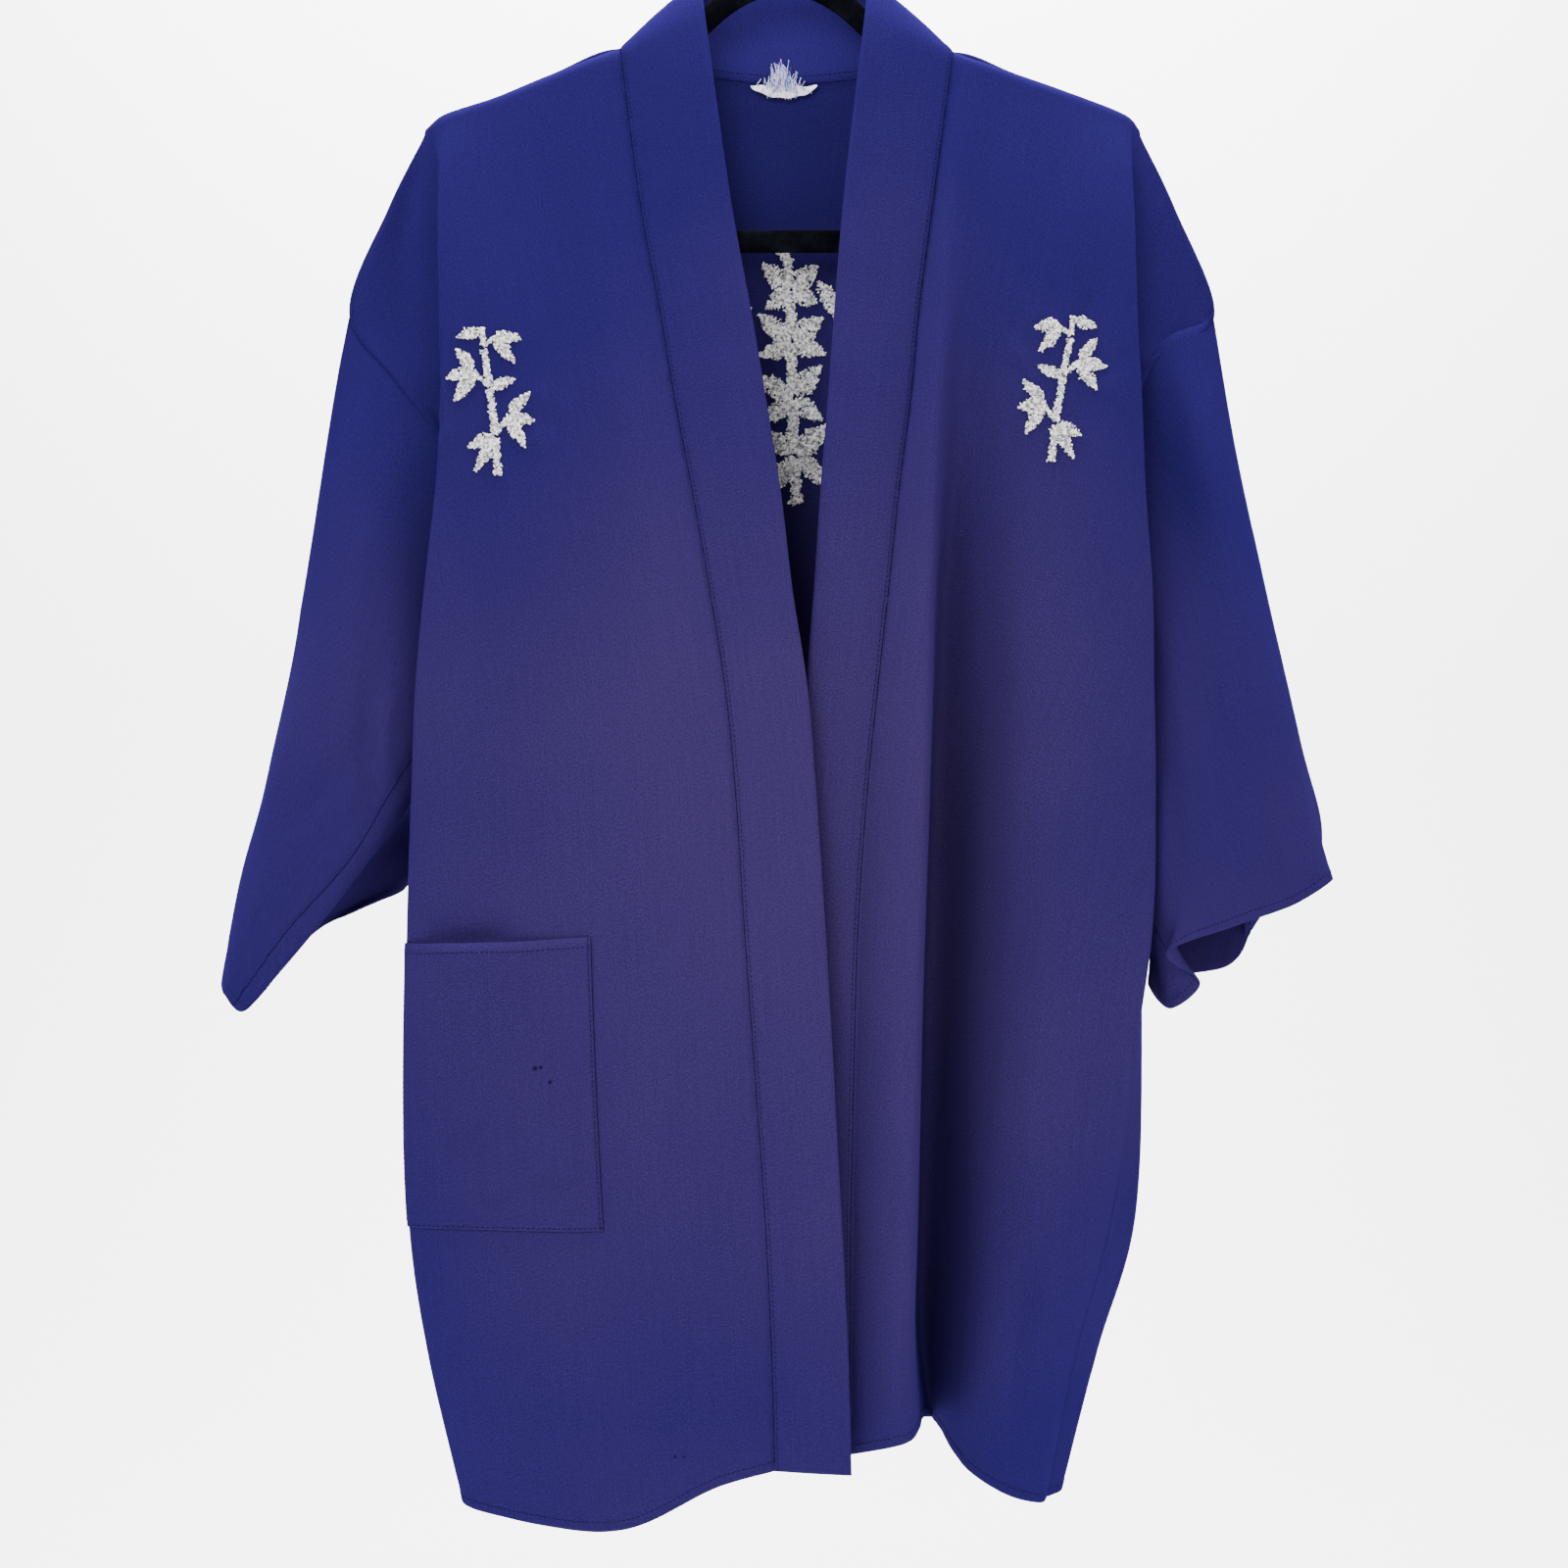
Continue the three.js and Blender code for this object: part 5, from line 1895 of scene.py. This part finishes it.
def pucker_round(grid: np.ndarray, motif: Motif, side: Side) -> np.ndarray:
    """Draws the cloth up a little round a motif.

    Args:
        grid: the panel's grid.
        motif: the embroidery.
        side: which face is outside.

    Returns:
        The puckered grid.
    """
    across = (grid[..., 0] - motif.centre[0]) / (motif.reach[0] * motif.scale)
    up = (grid[..., 2] - motif.centre[1]) / (motif.reach[1] * motif.scale)
    radius = np.hypot(across, up)
    angle = np.arctan2(up, across)
    ring = bell(radius - motif.ring[0], motif.ring[1])
    waves = np.sin(angle * 9 + motif.seed) + 0.6 * np.sin(angle * 14 + 1.3)
    relief = motif.pucker * ring * waves
    relief -= motif.dip * bell(radius, motif.dip_reach)
    return grid + normals_of(grid) * side.value * relief[..., None]


# ---- Label stub ----


# Frayed thread of the label: name, light and dark tint, and share of the threads.
FRAYS: tuple[tuple[str, str, str, float], ...] = (
    ("label_fray_white", "#f0eef6", "#c4c6e0", 0.9),
    ("label_fray_pale_blue", "#b4bef0", "#7f8edb", 1.0),
    ("label_fray_lilac", "#e0bcd4", "#a987bb", 0.5),
    ("label_fray_navy", "#3f479c", "#1e2360", 0.35),
)


@dataclass
class LabelStub:
    """What is left of a cut-off label: a narrow crescent and its frayed threads."""

    width: float = 41.0
    height: float = 6.4
    cloth: float = 0.5
    drop: float = 1.5
    columns: int = 44
    rows: int = 10
    threads: int = 46
    thread: float = 0.42
    longest: float = 22.0
    peak: float = 0.46
    flat_height: float = 10.2
    flat_area: float = 290.0

    def strip(self, back: np.ndarray) -> Cloth:
        """The crescent under the neck seam.

        Args:
            back: grid of the back.

        Returns:
            The strip's cloth.
        """
        middle = (back.shape[1] - 1) // 2
        reach = BACK_STEPS[0]
        seam = back[0, middle - reach:middle + reach + 1]
        length = np.concatenate([[0], np.cumsum(np.linalg.norm(np.diff(seam, axis=0), axis=1))])
        along = np.linspace(-0.5, 0.5, self.columns)
        where = length[-1] / 2 + along * self.width
        top = read_line(seam, length, where)
        part = np.linspace(0, 1, self.rows)[:, None]
        depth = 0.9 + self.height * np.clip(1 - (2 * along) ** 2, 0, 1) ** 0.75
        grid = np.repeat(top[None], self.rows, axis=0)
        grid[..., 1] -= 2.0 + 0.4 * np.sin(along * 17)[None] * part + 0.8 * part
        grid[..., 2] -= self.drop + part * depth + 0.4 * np.sin(along * 23)[None]
        return Cloth(grid, np.full(grid.shape[:2], self.cloth), Side.OUT)

    def frayed(self, strip: Cloth, seed: int, share: float) -> Stitches:
        """Frayed threads that stand up from the strip and cross over one another.

        Args:
            strip: the crescent.
            seed: picks the threads.
            share: share of the threads to make.

        Returns:
            The threads, in short lengths.
        """
        rng = np.random.default_rng(seed)
        edge = strip.grid[0]
        at = np.arange(len(edge))
        groups = []
        for _ in range(int(self.threads * share)):
            along = np.clip(rng.normal(self.peak + 0.04, 0.16), 0.12, 0.92)
            root = read_line(edge, at, along * (len(edge) - 1))
            root[2] -= rng.uniform(1.5, 8.0)
            rise = self.longest * max(0.35, 1 - 2.4 * abs(along - self.peak))
            rise *= rng.uniform(0.55, 1.0)
            lean = rng.normal(0.0, 2.6) + (self.peak - along) * 10
            out = -rng.uniform(0.6, 3.2)
            curl = rng.uniform(-1.6, 1.6)
            t = np.linspace(0, 1, 9)[:, None]
            path = root + t * np.array([[lean, out, rise]])
            path = path + np.sin(t * math.pi * 1.5) * np.array([[curl, 0.0, 0.0]])
            facing = np.tile([0.0, -1.0, 0.0], (len(path), 1))
            groups.append(run_along(path, facing, pitch=1.6, fill=1.5))
        return Stitches.joined(groups)


# ---- Hanger ----


@dataclass
class Hanger:
    """The flocked hanger and its wire hook."""

    thickness: float = 5.0
    section_points: int = 20
    steps: int = 8
    wire: float = 3.4
    hook_radius: float = 21.0
    wire_sides: int = 20
    # The wire's neck above the arch, the bend's angles and the narrowing tip.
    neck: tuple[tuple[float, float], ...] = ((0.0, 0.0), (0.0, 10.0), (0.8, 20.0), (6.0, 28.0))
    bend: tuple[float, float, float] = (-50.0, 166.0, 21.5)
    tip: tuple[float, ...] = (0.9, 0.7, 0.35)
    # Under 1, squares off the round section of the arms and the bar.
    squareness: float = 0.55
    outer: tuple[tuple[float, float], ...] = (
        (0, -72), (24, -76), (42, -92), (62, -113), (101, -135), (144, -151), (190, -166),
        (206, -175), (209, -188), (203, -212), (193, -236), (176, -248), (150, -249),
    )
    inner: tuple[tuple[float, float], ...] = (
        (0, -92), (17, -95), (33, -104), (54, -122), (100, -147), (144, -162), (184, -178),
        (195, -187), (196, -198), (190, -216), (182, -229), (169, -234), (150, -235),
    )

    def loop(self, half: tuple[tuple[float, float], ...]) -> np.ndarray:
        """Closes an outline from one half and its mirror image.

        Args:
            half: places (across, up) of the half, mm.

        Returns:
            The outline's places.
        """
        left = [(-x, z) for x, z in half[:0:-1]]
        points = np.array([(x, 0.0, z) for x, z in (*half, *left)], dtype=float)
        return smooth(points, (self.steps,) * len(points), closed=True)

    def body(self) -> bpy.types.Object:
        """Makes the arms, the arch and the bar.

        Returns:
            The flocked body.
        """
        outer, inner = self.loop(self.outer), self.loop(self.inner)
        middle = (outer + inner) / 2
        reach = (outer - inner) / 2
        angles = np.arange(self.section_points) / self.section_points * 2 * math.pi
        wide, deep = (np.sign(turn) * np.abs(turn) ** self.squareness
                      for turn in (np.cos(angles), np.sin(angles)))
        sections = middle[:, None] + reach[:, None] * wide[None, :, None]
        sections[..., 1] = deep[None] * self.thickness / 2
        return tube_mesh("hanger_flocked_body", sections, closed=True)

    def hook(self) -> bpy.types.Object:
        """Makes the wire hook, with a rounded tip.

        Returns:
            The hook.
        """
        centre = self.wire / 2 - self.hook_radius
        foot = self.outer[0][1] + SEAM_GAP
        places = [(across, foot + up) for across, up in self.neck]
        for degrees in np.arange(*self.bend):
            angle = math.radians(degrees)
            places.append((math.cos(angle) * self.hook_radius,
                           centre + math.sin(angle) * self.hook_radius))
        points = np.array([(x, 0.0, z) for x, z in places])
        path = smooth(points, (self.steps,) * (len(points) - 1))
        lead = unit(np.gradient(path, axis=0))
        side = np.cross(lead, [0.0, 1.0, 0.0])
        radius = np.full(len(path), self.wire / 2)
        radius[-len(self.tip):] *= self.tip
        angles = np.arange(self.wire_sides) / self.wire_sides * 2 * math.pi
        rings = path[:, None] + radius[:, None, None] * (
            side[:, None] * np.cos(angles)[None, :, None]
            + np.array([0.0, 1.0, 0.0]) * np.sin(angles)[None, :, None])
        return tube_mesh("hanger_wire_hook", rings, closed=False)


def tube_mesh(name: str, rings: np.ndarray, closed: bool) -> bpy.types.Object:
    """Joins closed rings into a solid.

    Args:
        name: the object's name.
        rings: (rings, points, 3), mm.
        closed: whether the last ring joins the first; otherwise the ends are capped.

    Returns:
        The new object.
    """
    count, around = rings.shape[:2]
    faces = []
    for i in range(count if closed else count - 1):
        k = (i + 1) % count
        for j in range(around):
            n = (j + 1) % around
            faces.append((i * around + j, k * around + j, k * around + n, i * around + n))
    if not closed:
        faces.append(tuple(range(around)))
        faces.append(tuple((count - 1) * around + j for j in reversed(range(around))))
    mesh = smooth_mesh(name, (rings.reshape(-1, 3) * MM).tolist(), faces)
    mesh.validate()
    mesh.update()
    item = add_object(name, mesh)
    turn_outwards(item)
    return item


def turn_outwards(item: bpy.types.Object) -> None:
    """Turns a closed mesh's faces outwards.

    Args:
        item: the object with the mesh.
    """
    work = bmesh.new()
    work.from_mesh(item.data)
    bmesh.ops.recalc_face_normals(work, faces=work.faces)
    work.to_mesh(item.data)
    work.free()


# ---- Studio ----


@dataclass
class Studio:
    """Floor, wall, soft lights and the camera, in metres."""

    floor_z: float = -1.35
    wall_y: float = 2.2
    half_width: float = 5.0
    front_y: float = -4.0
    cove: float = 0.9
    camera_distance: float = 1.8
    camera_height: float = -0.5748
    field: float = 0.96
    sensor: float = 36.0
    wall_top: float = 3.2
    cove_steps: int = 12
    air: str = "#f3f5fa"
    air_strength: float = 0.72

    def backdrop(self) -> None:
        """A floor that curves up into a wall."""
        profile = [(self.front_y, self.floor_z), (self.wall_y - self.cove, self.floor_z)]
        for step in range(1, self.cove_steps + 1):
            angle = step / self.cove_steps * math.pi / 2
            profile.append((self.wall_y - self.cove + math.sin(angle) * self.cove,
                            self.floor_z + self.cove - math.cos(angle) * self.cove))
        profile.append((self.wall_y, self.wall_top))
        points = [(side * self.half_width, y, z) for y, z in profile for side in (-1, 1)]
        faces = [(2 * k, 2 * k + 1, 2 * k + 3, 2 * k + 2) for k in range(len(profile) - 1)]
        item = add_object("studio_floor", smooth_mesh("studio_floor", points, faces))
        item.data.materials.append(Backdrop().make())

    def light(self, name: str, place: Place, power: float, size: float, tint: str,
              target: Place = (0.0, 0.0, -0.5748)) -> None:
        """Hangs one soft light.

        Args:
            name: the light's name.
            place: where it hangs, m.
            power: watts.
            size: side of its square, m.
            tint: its colour.
            target: where it looks, m.
        """
        lamp = bpy.data.lights.new(name, "AREA")
        lamp.energy = power
        lamp.size = size
        lamp.color = linear(tint)[:3]
        item = add_object(name, lamp)
        item.location = place
        item.rotation_euler = (Vector(target) - item.location).to_track_quat("-Z", "Y").to_euler()

    def build(self) -> None:
        """Sets up the whole studio."""
        scene = bpy.context.scene
        world = bpy.data.worlds.new("studio_air")
        world.use_nodes = True
        sky = world.node_tree.nodes["Background"]
        sky.inputs["Color"].default_value = linear(self.air)
        sky.inputs["Strength"].default_value = self.air_strength
        scene.world = world
        self.backdrop()
        self.light("key_window", (-0.9, -2.2, 0.7), 66.0, 1.5, "#f4f6ff")
        self.light("fill_right", (2.2, -1.8, -0.1), 30.0, 1.6, "#fff4ee")
        self.light("wall_wash", (0.0, 0.7, 1.4), 420.0, 2.4, "#ffffff", (0.0, 2.2, -0.6))
        camera = bpy.data.cameras.new("view_camera")
        camera.sensor_width = self.sensor
        camera.lens = self.sensor * self.camera_distance / self.field
        item = add_object("view_camera", camera)
        item.location = (0.0, -self.camera_distance, self.camera_height)
        item.rotation_euler = (math.radians(90), 0.0, 0.0)
        scene.camera = item


# ---- Assembly ----


@dataclass
class Haori:
    """The whole coat on its hanger."""

    satin: bpy.types.Material
    sewing_thread: bpy.types.Material
    seam_shade_thread: bpy.types.Material
    embroidery_thread: bpy.types.Material

    def piece(self, name: str, cloth: Cloth, node: str) -> bpy.types.Object:
        """Makes one satin piece that stands for a solid.

        Args:
            name: the piece's name.
            cloth: its cloth.
            node: the solid.

        Returns:
            The new object.
        """
        item = shell_mesh(name, cloth.grid, cloth.thickness, cloth.closed)
        dress(item, self.satin, "satin", node)
        return item

    def build(self) -> None:
        """Builds every piece of the garment and sews its threads."""
        sewing = Sewing()
        body = Body()
        right, left, back = body.right_front(), body.left_front(), body.back()
        body.close_side(right, back, 0)
        body.close_side(left, back, -1)
        right_sleeve = Sleeve(RIGHT_SLEEVE, RIGHT_SLEEVE_CREASES, seed=71).cloth(
            Armhole.between(right, back, -1, 0))
        left_sleeve = Sleeve(LEFT_SLEEVE, LEFT_SLEEVE_CREASES, seed=72).cloth(
            Armhole.between(left, back, -1, -1))
        band = Collar()
        collar = band.cloth(right.grid, left.grid, back.grid)
        patch = Pocket()
        pocket = patch.cloth(right.grid)
        stub = LabelStub()
        strip = stub.strip(back.grid)
        band.tuck_in(collar, right, left, back)

        pieces = {
            "right_front": self.piece("right_front_cloth", right, "right_front"),
            "left_front": self.piece("left_front_cloth", left, "left_front"),
            "back": self.piece("back_cloth", back, "back"),
            "right_sleeve": self.piece("right_sleeve_cloth", right_sleeve, "right_sleeve"),
            "left_sleeve": self.piece("left_sleeve_cloth", left_sleeve, "left_sleeve"),
            "collar": self.piece("collar_band", collar, "collar"),
            "pocket": self.piece("pocket_patch", pocket, "pocket"),
        }
        label = shell_mesh("label_strip", strip.grid, strip.thickness)
        dress(label, LabelCloth().make(), "label_cloth", "label_stub")
        for seed, (name, light, dark, share) in enumerate(FRAYS, 61):
            thread = Thread(name, light, dark, patch_scale=420.0).make()
            sewing.sew(name, stub.frayed(strip, seed, share), stub.thread,
                                    stub.thread, thread, "label_cloth")

        def run(name: str, stitches: Stitches) -> bpy.types.Object:
            """Sews one line of topstitching in the coat's own colour."""
            return sewing.sew(name, stitches, TOPSTITCH_WIDTH, TOPSTITCH_HEIGHT,
                              self.sewing_thread, "satin")

        def seam(name: str, stitches: Stitches) -> bpy.types.Object:
            """Sews dark thread into the ditch of a seam, as painted shade of the ditch."""
            return sewing.sew(name, stitches, DITCH_WIDTH, DITCH_HEIGHT, self.seam_shade_thread,
                              "satin")

        def embroider(motif: Motif, cloth: Cloth, start_y: float, ahead: float = 1.0
                      ) -> bpy.types.Object:
            """Embroiders one motif, found by rays from start_y."""
            stitches = motif.stitches(cloth.surface(), start_y, ahead)
            return sewing.sew(motif.name, stitches, motif.thread, motif.thread * 0.8,
                              self.embroidery_thread, None)

        first_back = sum(ROW_STEPS) + 1
        last_back = len(collar.grid) - first_back
        sewn = {
            "right_front": [run("right_front_hem", right.stitch_row(HEM_STITCH)),
                            embroider(RIGHT_CHEST, right, -200.0)],
            "left_front": [run("left_front_hem", left.stitch_row(HEM_STITCH)),
                           embroider(LEFT_CHEST, left, -200.0)],
            "back": [run("back_hem", back.stitch_row(HEM_STITCH)),
                     embroider(BACK_INSIDE, Cloth(back.grid, back.thickness, Side.OUT), 4.0),
                     embroider(BACK_OUTSIDE, back, 200.0, -1.0)],
            "right_sleeve": [run("right_cuff_hem", right_sleeve.stitch_row(HEM_STITCH)),
                             seam("right_underarm_seam_shade", Sleeve.underarm_seam(right_sleeve))],
            "left_sleeve": [run("left_cuff_hem", left_sleeve.stitch_row(HEM_STITCH)),
                            seam("left_underarm_seam_shade", Sleeve.underarm_seam(left_sleeve))],
            "collar": [seam("collar_seam_shade", band.seam(collar)),
                       run("collar_topstitch", collar.stitch_column(band.topstitch)),
                       run("nape_topstitch", collar.stitch_column(
                           band.nape_topstitch, first=first_back, last=last_back,
                           side=Side.IN)),
                       seam("nape_seam_shade", band.seam(collar, Side.IN, first_back, last_back))],
            "pocket": [run("pocket_topstitch", patch.topstitching(pocket)),
                       seam("pocket_edge_shadow", patch.seam(pocket))],
        }


def main() -> None:
    """Loads the frame, dresses it and sets up the studio."""
    logging.basicConfig(level=logging.INFO, format="%(name)s %(message)s")
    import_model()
    satin = Satin().make()
    sewing_thread = Thread("blue_sewing_thread", "#100f38", "#08081f", roughness=0.8,
                           specular=0.05, sheen=0.0).make()
    # Near-black thread that stands in for the shade in the ditches of the seams: painted shade.
    seam_shade_thread = Thread("seam_shadow_thread", "#0b0a2c", "#06051a", roughness=0.9,
                         specular=0.0, sheen=0.0).make()
    # The floss's dark tint is partly painted shade between its strands.
    embroidery = Thread("silver_white_floss", "#fdfaf4", "#77747a", roughness=0.45,
                        patch_scale=520.0).make()
    Haori(satin, sewing_thread, seam_shade_thread, embroidery).build()
    hanger = Hanger()
    dress(hanger.body(), Flock().make(), "flock", "hanger_body")
    dress(hanger.hook(), Steel().make(), "hook_steel", "hanger_hook")
    Studio().build()


if __name__ == "__main__":
    main()
